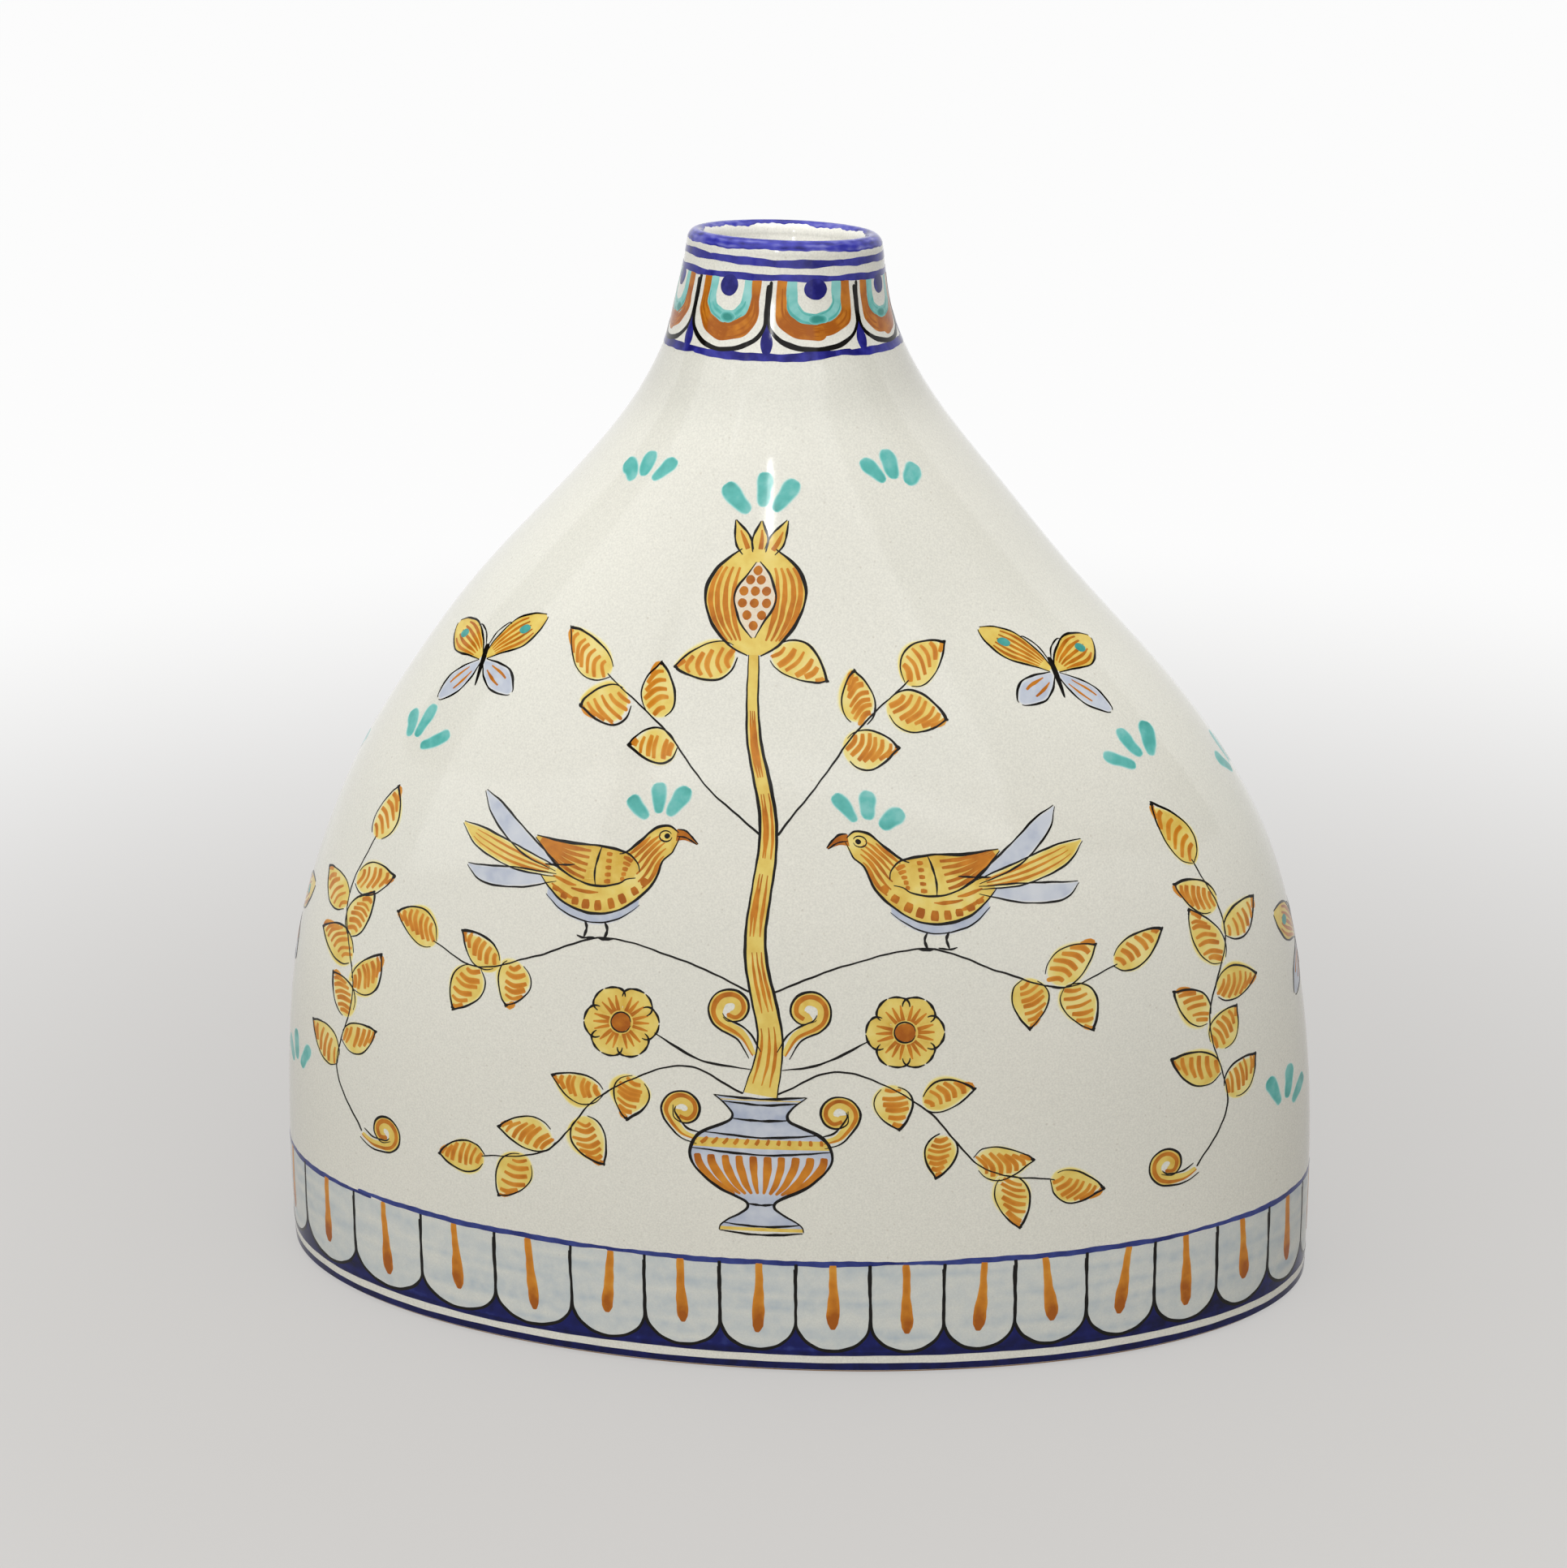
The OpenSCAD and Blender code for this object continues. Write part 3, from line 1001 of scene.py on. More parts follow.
def blue_drop(start):
    """A drop on the bottom ring in the gap where an eye starts: a small foot, a round belly, a point."""
    t = np.linspace(0, 1, 40)
    width = 1.5 * (0.4 * (1 - t) ** 6 + np.sin(math.pi * t ** 0.8) ** 1.2 + 0.03)
    rise = eye_bottom - 1.3 + 7.9 * t
    paper = Paper(start * neck_mid_radius, eye_middle, fan=True)
    lay(neck_blue, paper, np.stack([-width, rise], 1), np.stack([width, rise], 1), 0.9)


for start, end in zip(eye_edges, eye_edges[1:]):
    paper = Paper((start + end) / 2 * neck_mid_radius, eye_middle, fan=True)
    half = (end - start) / 2 * neck_mid_radius
    scale = half / usual_half * hand.uniform(0.95, 1.04)
    stroke(neck_black, paper, cup(half - 0.35, eye_top, eye_turn, eye_bottom)[::5], 1.45,
           (0.8, 0.7, 0.75, 1, 0.85, 1, 0.7, 0.7, 0.8), (1.1, 1.1), 0.12)
    shift = hand.uniform(-0.5, 0.5)
    for first, last, sag in ((0.0, 0.58, 0.0), (0.44, 1.0, hand.uniform(-0.9, 0.9))):
        outer = (9.2 * scale, eye_top + 0.4, eye_turn + 2.2, eye_bottom + 2.1 + sag)
        inner = (6.5 * scale, eye_top + 0.4, eye_turn + 4.0, eye_bottom + 6.6)
        cup_band(neck_orange, paper, outer, inner, 0.82, 0.25, 3, first, last)
    outer = (6.8 * scale, eye_top + 0.4, eye_turn + 3.8, eye_bottom + 6.2)
    inner = (4.1 * scale, eye_top + 0.4, eye_turn + 5.6, eye_bottom + 9.3)
    cup_band(neck_green, paper, outer, inner, 0.42, 0.16, 2)
    blob(neck_green, paper, (hand.normal(0, 1.4), eye_bottom + 7.7), (2.4 * scale, 1.5),
         1.1 * np.sin(np.linspace(0, math.pi, blob_steps)), soft=0.9, least=0.42, level=2)
    blob(neck_blue, paper, (shift, eye_top - 1.9), (2.8 * scale, 2.6), 0.95)
    blue_drop(start)
for layer in (neck_green, neck_orange, neck_blue, neck_black):
    layer.finish()

# %% [markdown]
# ## The foot band
#
# Tongues stand all round the foot under a blue line. Each has a dark cup outline and an orange drip that ends
# in a pool. Blue fills the gaps between the round ends, a blue line ties them together, and a dark blue edge
# closes the glaze above the bare clay. A pale blue wash lies over the whole band in long level streaks. The
# painter's spacing opened up towards the left side, so the widths here follow a gentle bulge there.

# %% Foot layers, wash and rings
foot_wash_and_shade = Layer("foot_sky_wash_and_shade", sky_wash_and_shade, 0.03)
foot_blue = Layer("foot_cobalt", dark_cobalt, 0.06)
foot_dark = Layer("foot_dark_cobalt", dark_cobalt, 0.05)
foot_orange = Layer("foot_orange", iron_orange, 0.08)
foot_black = Layer("foot_manganese", manganese_black, 0.10)
band_top, band_bottom = 34.5, 7.3
foot_radius = 116
wash_points, wash_rows = 900, 17
edge_points = 700
# The wash over the band: partly the painter's own, partly painted shade that darkens the foot.
streaks = [ring_tremor(wash_points, foot_radius, 0.11, (150, 60, 23)) for _ in range(wash_rows)]
ring_sheet(foot_wash_and_shade, np.full(wash_points, band_bottom - 1), np.full(wash_points, band_top),
           0.38 + np.stack(streaks, 1), wash_rows)
ring_of_strokes(foot_blue, band_top, 1.9, 9, (0.36, 0.46), 0.3)
tie_low = 5.9 + ring_tremor(edge_points, foot_radius, 0.12, (60, 25, 9))
ring_sheet(foot_dark, tie_low, np.full(edge_points, band_bottom + 0.3), 0.8)
edge_high = 3.6 + ring_tremor(edge_points, foot_radius, 0.15, (80, 31, 12))
ring_sheet(foot_dark, np.full(edge_points, glaze_end - 0.02), edge_high, 0.85)
print("bare glaze between the two blue rings:", round((tie_low - edge_high).min(), 1), "mm at least")

# %% Widths of the tongues
tongue_count = 35
usual_width = 19.6
first_edge = 9.2
most_bulge, bulge_run, bulge_reach = 5.3, -140, 85
edges = [0.0]
for _ in range(tongue_count):
    run = wrapped((edges[-1] + first_edge + 10) / foot_half_run) * foot_half_run
    bulge = most_bulge * math.exp(-((run - bulge_run) / bulge_reach) ** 2)
    edges.append(edges[-1] + (usual_width + bulge) * hand.uniform(0.96, 1.04))
edges = np.array(edges) * 2 * foot_half_run / edges[-1] + first_edge
widths = np.diff(edges)
print(tongue_count, "tongues from", round(widths.min(), 1), "to", round(widths.max(), 1), "mm wide")

# %% Paint the tongues
band_middle = 20.0
tongue_top, tongue_bottom = band_top - band_middle, band_bottom - band_middle
tongue_turn = tongue_bottom + 9.0
halves = widths / 2


def blue_gap(start, half_before, half):
    """The blue between the round ends of two tongues."""
    t = np.linspace(0.15, math.pi / 2, 26)
    level = tongue_turn - (tongue_turn - tongue_bottom + 0.2) * np.sin(t)
    left, right = [-(size - (size - 0.1) * np.cos(t)) for size in (half_before, -half)]
    paper = Paper(start, band_middle, fan=True)
    strength = 0.75 + tremor(t * 9, 0.16)
    lay(foot_dark, paper, np.stack([left, level], 1), np.stack([right, level], 1), strength)


for start, half, half_before in zip(edges, halves, np.roll(halves, 1)):
    paper = Paper(start + half, band_middle, fan=True)
    stroke(foot_black, paper, cup(half - 0.1, tongue_top, tongue_turn, tongue_bottom)[::4], 1.15,
           (0.9, 0.75, 1, 1, 0.9, 0.75, 0.9), (0.9, 0.9), 0.12)
    blue_gap(start, half_before, half)
    slant = hand.normal(0, 0.8)
    length = hand.uniform(20, 24)
    drip = [(slant, tongue_top + 0.2), (slant * 0.4, tongue_top - length * 0.5),
            (-slant * 0.3, tongue_top - length)]
    stroke(foot_orange, paper, drip, 3.7, (0.54, 0.57, 0.6, 0.65, 0.72, 0.82, 0.93, 1, 0.9, 0.25),
           (0.62, 0.62, 0.66, 0.7, 0.78, 1.1, 1.15), 0.14, soft=0.3)
for layer in (foot_wash_and_shade, foot_dark, foot_blue, foot_orange, foot_black):
    layer.finish()


# %% [markdown]
# ## The field
#
# The open body carries a tree of life, an old subject on painted pottery: an urn, a stem with leafy branches,
# a pomegranate on top, a bird on each side, butterflies, and sprigs towards the sides. Each motif is drawn in
# its own small coordinates and then placed, turned or mirrored on its own sheet, so one function serves every
# copy, and the tremor of the hand keeps the copies from being twins.

# %% Field layers
class Paints:
    """The five colours of the field on one side of the pot."""

    def __init__(self, side):
        self.lilac = Layer(side + "_lilac_grey", lilac_grey, 0.03)
        self.yellow = Layer(side + "_yellow", antimony_yellow, 0.05)
        self.green = Layer(side + "_copper_green", copper_green, 0.05)
        self.orange = Layer(side + "_orange", iron_orange, 0.075)
        self.black = Layer(side + "_manganese", manganese_black, 0.10)

    def finish(self):
        for layer in (self.lilac, self.yellow, self.green, self.orange, self.black):
            layer.finish()


def moved(points, place=(0, 0), degrees=0.0):
    """Points turned about the origin and then shifted."""
    angle = math.radians(degrees)
    points = np.asarray(points, float)
    x = points[..., 0] * math.cos(angle) - points[..., 1] * math.sin(angle) + place[0]
    y = points[..., 0] * math.sin(angle) + points[..., 1] * math.cos(angle) + place[1]
    return np.stack([x, y], -1)


print("a step to the right, turned by 90 degrees:", moved([(1, 0)], degrees=90).round(3))


# %% Shapes, streaks and ink
def swelling(rows, step=0.7):
    """Left and right edge of a shape along a line. Each row is x, y and the width there."""
    line = flowing(rows, step)
    _, side = along(line[:, :2])
    half = np.maximum(line[:, 2:], 0.05) / 2
    return line[:, :2] + side * half, line[:, :2] - side * half


def streaked(paints, paper, edges, shares, stretch, *brush):
    """Orange streaks along a shape, each at a share of the way across. The brush is as for a stroke."""
    for share in shares:
        stroke(paints.orange, paper, between(*edges, share)[stretch], *brush)


many_points = 14


def ink(paints, paper, points, width=0.75, profile=(0.4, 0.9, 1.2, 0.8, 1.25, 1, 0.4), swing=0.1):
    """A dark line, thick and thin as a pointed brush leaves it. Of many points it takes every third."""
    points = np.asarray(points, float)
    if len(points) > many_points:
        points = np.vstack([points[::3], points[-1:]])
    stroke(paints.black, paper, points, width, profile, (0.88, 0.95), swing)


def inked(paints, paper, lines, width):
    for line in lines:
        ink(paints, paper, line, width)


def oval(centre, radii, first, last):
    """A line round an oval in eight steps, from a first to a last angle."""
    return [(centre[0] + radii[0] * math.cos(angle), centre[1] + radii[1] * math.sin(angle))
            for angle in np.linspace(first, last, 9)]


print("a shape 10 mm long has", len(swelling([(0, 0, 2), (10, 0, 4)])[0]), "points on each edge")


# %% [markdown]
# ### Leaves and sprigs
#
# A leaf is a yellow almond crossed by curved orange strokes, with two loose dark outlines that meet in a blot
# at the tip. The outlines do not quite meet the colour, because the painter drew them after the fill had
# dried.

# %% Leaf
leaf_length, leaf_width = 17.0, 10.2


def leaf(paints, paper, root, degrees, length=leaf_length):
    """An almond, fullest a little before its middle, with a bent rib and hatching."""
    length *= hand.uniform(0.9, 1.1)
    width = leaf_width * hand.uniform(0.9, 1.1)
    degrees += hand.normal(0, 5)
    bend = 0.09 * length * hand.uniform(-1, 1)
    t = np.linspace(0, 1, 30)
    half = width / 2 * np.sin(math.pi * t ** 0.85) ** 0.72 * (1 - 0.18 * t)
    rib = bend * np.sin(math.pi * t)
    left, right = [moved(np.stack([length * t, rib + side * half], 1), root, degrees) for side in (1, -1)]
    slip = hand.normal(0, 0.45, 2)
    spill = hand.uniform(0.04, 0.12)
    strength = hand.uniform(0.4, 0.66) + 0.12 * np.sin(9 * t + slip[0] * 9)
    lay(paints.yellow, paper, between(left, right, -spill) + slip, between(left, right, 1 + spill) + slip,
        strength, bleed=1.2)
    slant = hand.choice([-1, 1]) * hand.uniform(0.05, 0.16)
    bow = hand.uniform(0.03, 0.1)
    reaches = hand.permutation([0.72, 0.97])
    hatches = hand.integers(6, 8)
    for share in np.linspace(0.12, 0.88, hatches) + hand.normal(0, 0.012, hatches):
        ends = np.clip([share - slant, share + slant], 0.03, 0.97)
        low, high = [np.interp(end, t, rib) + side * np.interp(end, t, half) * reach * hand.uniform(0.85, 1.0)
                     for end, side, reach in zip(ends, (-1, 1), reaches)]
        middle = (length * (share + bow), (low + high) / 2)
        vein = moved([(length * ends[0], low), middle, (length * ends[1], high)], root, degrees)
        stroke(paints.orange, paper, vein, hand.uniform(1.3, 1.9), (0.8, 1, 0.95, 0.65), (0.72, 0.56), 0.06,
               soft=0.45)
    right = np.vstack([right, moved([(length + 0.8, 0)], root, degrees)])
    begin = hand.integers(0, 4, 2)
    ink(paints, paper, left[begin[0]:], hand.uniform(0.65, 0.95), (0.4, 0.7, 0.95, 0.8, 1.1))
    ink(paints, paper, right[begin[1]:], hand.uniform(0.65, 0.95), (0.4, 0.8, 0.7, 1, 0.9))
    blob(paints.black, paper, left[-1], (0.6, 0.5), 0.9)


print("leaves are about", leaf_length, "by", leaf_width, "mm")

# %% Sprig
last_leaf = 0.84


def sprig(paints, paper, points, count, length, spread, start):
    """A thin stem with leaves on alternate sides from a start share of it onwards, and one at its tip."""
    stroke(paints.black, paper, points, 0.7, (1, 0.8, 0.9, 0.7), (0.85, 0.9), 0.15)
    line = flowing(points, 0.5)
    _, side = along(line)
    ahead = np.degrees(np.arctan2(-side[:, 0], side[:, 1]))
    for number, share in enumerate(np.linspace(start, last_leaf, count)):
        i = int(share * (len(line) - 1))
        turn = spread if number % 2 else -spread
        root = line[i] + hand.normal(0, 0.4, 2)
        leaf(paints, paper, root, ahead[i] + turn, length * hand.uniform(0.85, 1.0))
    leaf(paints, paper, line[-4], ahead[-4], length)


print("the last leaf before the tip stands", last_leaf, "of the way along")


# %% [markdown]
# ### Dabs, scrolls and blossoms
#
# Three touches of a loaded brush make a blue-green dab. A scroll is a tapered curl with an orange shadow
# inside and a dark line round its outer side. A blossom is a ring of petals about an orange eye.

# %% Dabs
dab_length, dab_width = 10.5, 5.3


def dabs(paints, paper, place, degrees, spread=42, length=dab_length):
    """Three touches that fan out from a place and start a little off it."""
    start = 4.4
    for turn in (-spread, 0, spread):
        reach = length * hand.uniform(0.9, 1.12)
        rows = [(start, 0), (start + reach / 2, hand.normal(0, 0.4)), (start + reach, 0)]
        touch = moved(rows, place, degrees + turn + hand.normal(0, 5))
        wet = hand.permutation([0.5, 0.8])
        stroke(paints.green, paper, touch, dab_width, (0.6, 0.85, 1, 0.95), (wet[0], 0.62, 0.58, wet[1]),
               0.12, bleed=0.9)


print("dabs are about", dab_length, "by", dab_width, "mm")


# %% Scroll
def spiral(radius, turns, count=18):
    """A curl that starts at its rim, heading along x, and winds in on itself to the left."""
    t = np.linspace(0, 1, count)
    angle = -math.pi / 2 + t * turns * 2 * math.pi
    reach = radius * (1 - 0.72 * t)
    return np.stack([reach * np.cos(angle), radius + reach * np.sin(angle)], 1)


def scroll(paints, paper, points, place, degrees, radius, turns=1.1, flip=1, width=3.6):
    """A stem through some points that ends in a curl at a place. Flip winds it the other way."""
    curl = moved(spiral(radius, turns) * [1, flip], place, degrees)
    line = np.vstack([points, curl])
    stroke(paints.yellow, paper, line, width, (0.3, 0.7, 1, 1.1, 1, 1.1), (0.6, 0.75, 0.8), 0.08)
    smooth = flowing(line, 0.6)
    _, side = along(smooth)
    shadow = (smooth - side * 0.16 * width * flip)[::4]
    stroke(paints.orange, paper, shadow, width * 0.42, (0.3, 0.8, 1, 1, 0.9), (0.7, 0.85), 0.08)
    ink(paints, paper, smooth - side * 0.52 * width * flip, 0.7)
    ink(paints, paper, (smooth + side * 0.5 * width * flip)[:int(len(smooth) * 0.5)], 0.6)


print("a curl of 5 mm radius winds in to", spiral(5.0, 1.1)[-1].round(1))


# %% Blossom
usual_petals = 6


def blossom(paints, paper, radius, petals=usual_petals):
    place = (0, 0)
    blob(paints.yellow, paper, place, (radius * 0.42, radius * 0.42), 0.7)
    for petal in range(petals):
        turn = 360 * petal / petals + hand.normal(0, 3)
        t = np.linspace(0, 1, 20)
        half = radius * 0.44 * np.sin(math.pi * t ** 1.35) ** 0.6
        outward = radius * (0.2 + 0.8 * t)
        left, right = [moved(np.stack([outward, side * half], 1), place, turn) for side in (1, -1)]
        lay(paints.yellow, paper, left, right, 0.55 + 0.2 * (1 - t), soft=-0.3)
        for slant in (-16, 0, 16):
            vein = moved([(radius * share, 0) for share in (0.28, 0.5, 0.78)], place, turn + slant)
            stroke(paints.orange, paper, vein, 1.3, (1, 0.9, 0.4), (0.85, 0.6), 0.05)
        inked(paints, paper, (left[8:], right[8:]), 0.7)
    blob(paints.orange, paper, place, (radius * 0.26, radius * 0.26), 0.95, level=2)
    ink(paints, paper, oval(place, (radius * 0.27, radius * 0.27), 0, 6.1), 0.6)


print("blossoms have", usual_petals, "petals unless told otherwise")


# %% [markdown]
# ### Birds and butterflies
#
# The bird is one swelling body line with a wing, a fan of tail feathers and a crest of soft green touches.
# Orange streaks run along its neck and rump, deeper dabs sit on its breast, and a pale lilac shades its belly
# and tail. The butterfly is one pair of wings, mirrored. Bodies are lists of points, each with a width, which
# is how a loaded brush works: it is pressed to swell and lifted to taper.

# %% Tail of the bird
tail_lilac = [[(-14, 4, 2), (-25, 10, 5.5), (-35, 18, 5), (-40, 23, 0.5)],
              [(-14, 1.5, 2), (-26, 0, 5.5), (-37, -0.5, 5), (-43, 1.5, 0.5)]]
tail_yellow = [(-14, 3, 2.5), (-27, 5.5, 6.5), (-39, 9.5, 6), (-46, 13, 0.5)]


def feather(paints, layer, paper, rows, streaks=()):
    edges = swelling(rows, 0.6)
    strength = 0.6 + tremor(np.linspace(0, 25, len(edges[0])), 0.14)
    lay(layer, paper, *edges, strength, bleed=0.8)
    streaked(paints, paper, edges, streaks, slice(4, -5, 4), 1.1, (0.5, 1, 0.8, 0.3), (0.75, 0.6), 0.06)
    inked(paints, paper, edges, 0.65)


def bird_tail(paints, paper):
    for rows in tail_lilac:
        feather(paints, paints.lilac, paper, rows)
    feather(paints, paints.yellow, paper, tail_yellow, (0.25, 0.5, 0.75))


print("the tail reaches", -tail_yellow[-1][0], "mm behind the bird's middle")

# %% Body of the bird
body_rows = [(19.8, 16.8, 0.8), (18.4, 16.2, 5.4), (15.8, 15, 8.6), (12.4, 11.4, 8.8), (8, 5.2, 13.2),
             (0, 0.6, 16), (-8, 0, 13), (-14, 1.6, 8), (-19, 3.6, 3)]
neck_streaks = ((0.1, 0.16, 0.42), (0.26, 0.12, 0.4), (0.42, 0.1, 0.38), (0.58, 0.1, 0.36),
                (0.74, 0.1, 0.34), (0.9, 0.14, 0.34))
rump_streaks = ((0.2, 0.72, 0.95), (0.5, 0.74, 0.96), (0.4, 0.6, 0.82))


def bird_body(paints, paper):
    """Fill, streaks, breast dabs and shade. Streaks have a share across and begin and end along the body."""
    under, back = swelling(body_rows)
    rows = len(under)
    lay(paints.yellow, paper, under, back, 0.62 + tremor(np.linspace(0, 45, rows), 0.12), soft=-0.25)
    for share, begin, end in neck_streaks + rump_streaks:
        stretch = slice(int(rows * begin), int(rows * end), 3)
        streaked(paints, paper, (under, back), [share], stretch, 1.4, (0.3, 1, 0.9, 0.4), (0.6, 0.9), 0.08)
    for share in np.linspace(0.36, 0.86, 9):
        i = int(share * rows)
        dab = [between(under[i], back[i], across) for across in (0.02, 0.14, 0.3)]
        stroke(paints.orange, paper, dab, 2.5, (0.8, 1, 0.6), (1.0, 0.85), 0.05)
    belly = under[int(rows * 0.4):int(rows * 0.93)]
    lay(paints.lilac, paper, belly + [0, -3.4], belly + [0, 0.3], 0.8, bleed=1.0)
    ink(paints, paper, belly + [0, -2.6], 0.55)
    return under, back


print("the body is", body_rows[0][0] - body_rows[-1][0], "mm long")

# %% Wing of the bird
wing_rows = [(9.5, 4.5, 1.5), (5.5, 6.2, 8.5), (-3, 6.2, 11.5), (-12, 8, 8), (-22, 12.5, 0.5)]


def bird_wing(paints, paper):
    left, right = swelling(wing_rows)
    lay(paints.yellow, paper, left, right, 0.8, soft=-0.2)
    count = len(left)
    for share in (0.12, 0.3, 0.48, 0.66, 0.84):
        rib = between(left, right, share)
        quill = rib[int(count * 0.45):-2:4]
        stroke(paints.orange, paper, quill, 1.5, (0.6, 1, 0.9, 0.3), (0.9, 0.65), 0.08)
        for begin in (0.1, 0.24):
            scale = rib[int(count * begin):int(count * (begin + 0.12)):2]
            stroke(paints.orange, paper, scale, 1.5, (0.7, 1, 0.5), (0.85, 0.7), 0.04)
    bar = [between(left, right, share)[int(count * (0.4 - 0.04 * abs(2 * share - 1)))]
           for share in (0, 0.3, 0.7, 1)]
    ink(paints, paper, bar, 0.7)
    ink(paints, paper, left, 0.8)
    ink(paints, paper, right, 0.85)


print("the wing is", wing_rows[0][0] - wing_rows[-1][0], "mm long")

# %% Head and feet of the bird
beak_rows = [(18.6, 16.6, 3.6), (21.5, 16.4, 2.4), (25.2, 14.2, 0.2)]


def bird_head(paints, paper):
    beak = swelling(beak_rows, 0.4)
    lay(paints.orange, paper, *beak, 0.9)
    ink(paints, paper, [(18.8, 16.4), (21.8, 16.0), (25.2, 14.2)], 0.55)
    ink(paints, paper, [(18.8, 18.4), (21.6, 17.8), (25.4, 14.3)], 0.6)
    eye, eye_radii = (15.9, 16.2), (1.8, 1.5)
    blob(paints.lilac, paper, eye, eye_radii, 0.15)
    ink(paints, paper, oval(eye, eye_radii, 0.3, 6.3), 0.5)
    blob(paints.black, paper, (16.3, 16.2), (0.8, 0.85), 0.95)


def bird(paints, paper):
    bird_tail(paints, paper)
    under, back = bird_body(paints, paper)
    bird_wing(paints, paper)
    ink(paints, paper, under, 0.85)
    ink(paints, paper, back[:int(len(back) * 0.4)], 0.85)
    ink(paints, paper, back[int(len(back) * 0.8):], 0.8)
    bird_head(paints, paper)
    for foot in (2.5, -3.5):
        ink(paints, paper, [(foot - 1, -9.6), (foot, -12), (foot - 0.6, -15)], 0.85)
        ink(paints, paper, [(foot - 3, -14.4), (foot - 0.6, -15), (foot + 2.6, -14.4)], 0.7)
    dabs(paints, paper, (13.5, 17.5), 102, 40, 9.5)


print("from beak to tail the bird is", beak_rows[-1][0] - tail_yellow[-1][0], "mm")

# %% Butterfly
upper_rows = np.array([(0.8, 1.5, 1.5), (5, 5.5, 7), (11, 9.5, 11), (16.5, 13, 6), (18.5, 14.4, 0.8)])
lower_rows = np.array([(0.8, 0.5, 1.2), (4.5, -3, 6), (9, -7, 8), (13, -11, 3.5), (14, -12, 0.6)])
feeler = np.array([(0.4, 5.5), (2.2, 10), (5.5, 13), (7, 12.4)])


def butterfly(paints, paper):
    for flip in (1, -1):
        upper, lower = [swelling(rows * [flip, 1, 1]) for rows in (upper_rows, lower_rows)]
        lay(paints.lilac, paper, *lower, 0.7, bleed=1.0)
        lay(paints.yellow, paper, *upper, 0.65, soft=-0.3)
        streaked(paints, paper, upper, (0.14, 0.32, 0.5, 0.68, 0.86), slice(4, -4, 4),
                 1.3, (0.4, 1, 1, 0.6), (0.65, 0.9), 0.05)
        streaked(paints, paper, lower, (0.3, 0.7), slice(5, -6, 3), 1.2, (0.4, 1, 0.6), (0.7, 0.85), 0.05)
        blob(paints.green, paper, (12.3 * flip, 10.3), (1.9, 1.6), 0.85, level=5)
        inked(paints, paper, (*upper, *lower), 0.75)
        ink(paints, paper, feeler * [flip, 1], 0.55)
    stroke(paints.black, paper, [(0, 6.5), (0.2, 1), (0, -8.5)], 2.0, (0.9, 1, 0.8, 0.3), (0.8, 0.9), 0.05)


print("the butterfly is", 2 * upper_rows[:, 0].max(), "mm across")


# %% [markdown]
# ### Pomegranate and urn
#
# Both are upright bodies: widths along a straight line give their outline. The fruit is split in the middle
# to show its seeds, and the urn has orange flutes, a yellow collar and two scrolled handles.

# %% Pomegranate
seeds_at = {-6.6: (0,), -3.9: (-1.7, 1.6), -0.8: (-3.1, 0, 3.1),
            2.3: (-3, 0.1, 2.9), 5.2: (-1.5, 1.6), 7.6: (0,)}


def pomegranate(paints, paper):
    for flip in (1, -1):
        leaf(paints, paper, (4 * flip, -13), 90 - 108 * flip, 16)
    fruit = swelling([(0, -14.5, 3), (0, -12.5, 11), (0, -6, 22), (0, 1.5, 26), (0, 8, 21), (0, 13, 9)])
    lay(paints.yellow, paper, *fruit, 0.65, soft=-0.25)
    streaked(paints, paper, fruit, (0.05, 0.12, 0.2, 0.28, 0.72, 0.8, 0.88, 0.95), slice(5, -4, 4),
             1.6, (0.4, 1, 0.9, 0.5), (0.8, 0.6), 0.12)
    split = swelling([(0, -10, 0.5), (-0.4, -5, 7), (0, 0.5, 11), (0.4, 5.5, 7), (0, 10, 0.5)], 0.5)
    lay(paints.lilac, paper, *split, 0.8)
    lay(paints.orange, paper, *split, 0.08)
    for height, places in seeds_at.items():
        for x in places:
            blob(paints.orange, paper, (x + hand.normal(0, 0.15), height), (1.2, 1.35), 0.9, level=2)
    inked(paints, paper, split, 0.75)
    inked(paints, paper, fruit, 0.95)
    for x in (-4.5, 0, 4.5):
        sepal = swelling([(x * 0.6, 12, 3), (x, 15.5, 4), (x * 1.5, 20.5, 0.3)], 0.5)
        lay(paints.yellow, paper, *sepal, 0.7)
        streaked(paints, paper, sepal, [0.6], slice(1, -3, 3), 1.5, (1, 0.9, 0.3), (0.9, 0.6), 0.05)
        inked(paints, paper, sepal, 0.65)
    dabs(paints, paper, (0, 19), 90)


print("the pomegranate shows", sum(len(places) for places in seeds_at.values()), "seeds")

# %% Urn
urn_rows = [(0, -20, 23), (0, -17.5, 21), (0, -14, 10), (0, -11, 8), (0, -6, 26), (0, 1, 38),
            (0, 8, 34), (0, 12.5, 17), (0, 15, 15), (0, 18, 20), (0, 20, 25)]


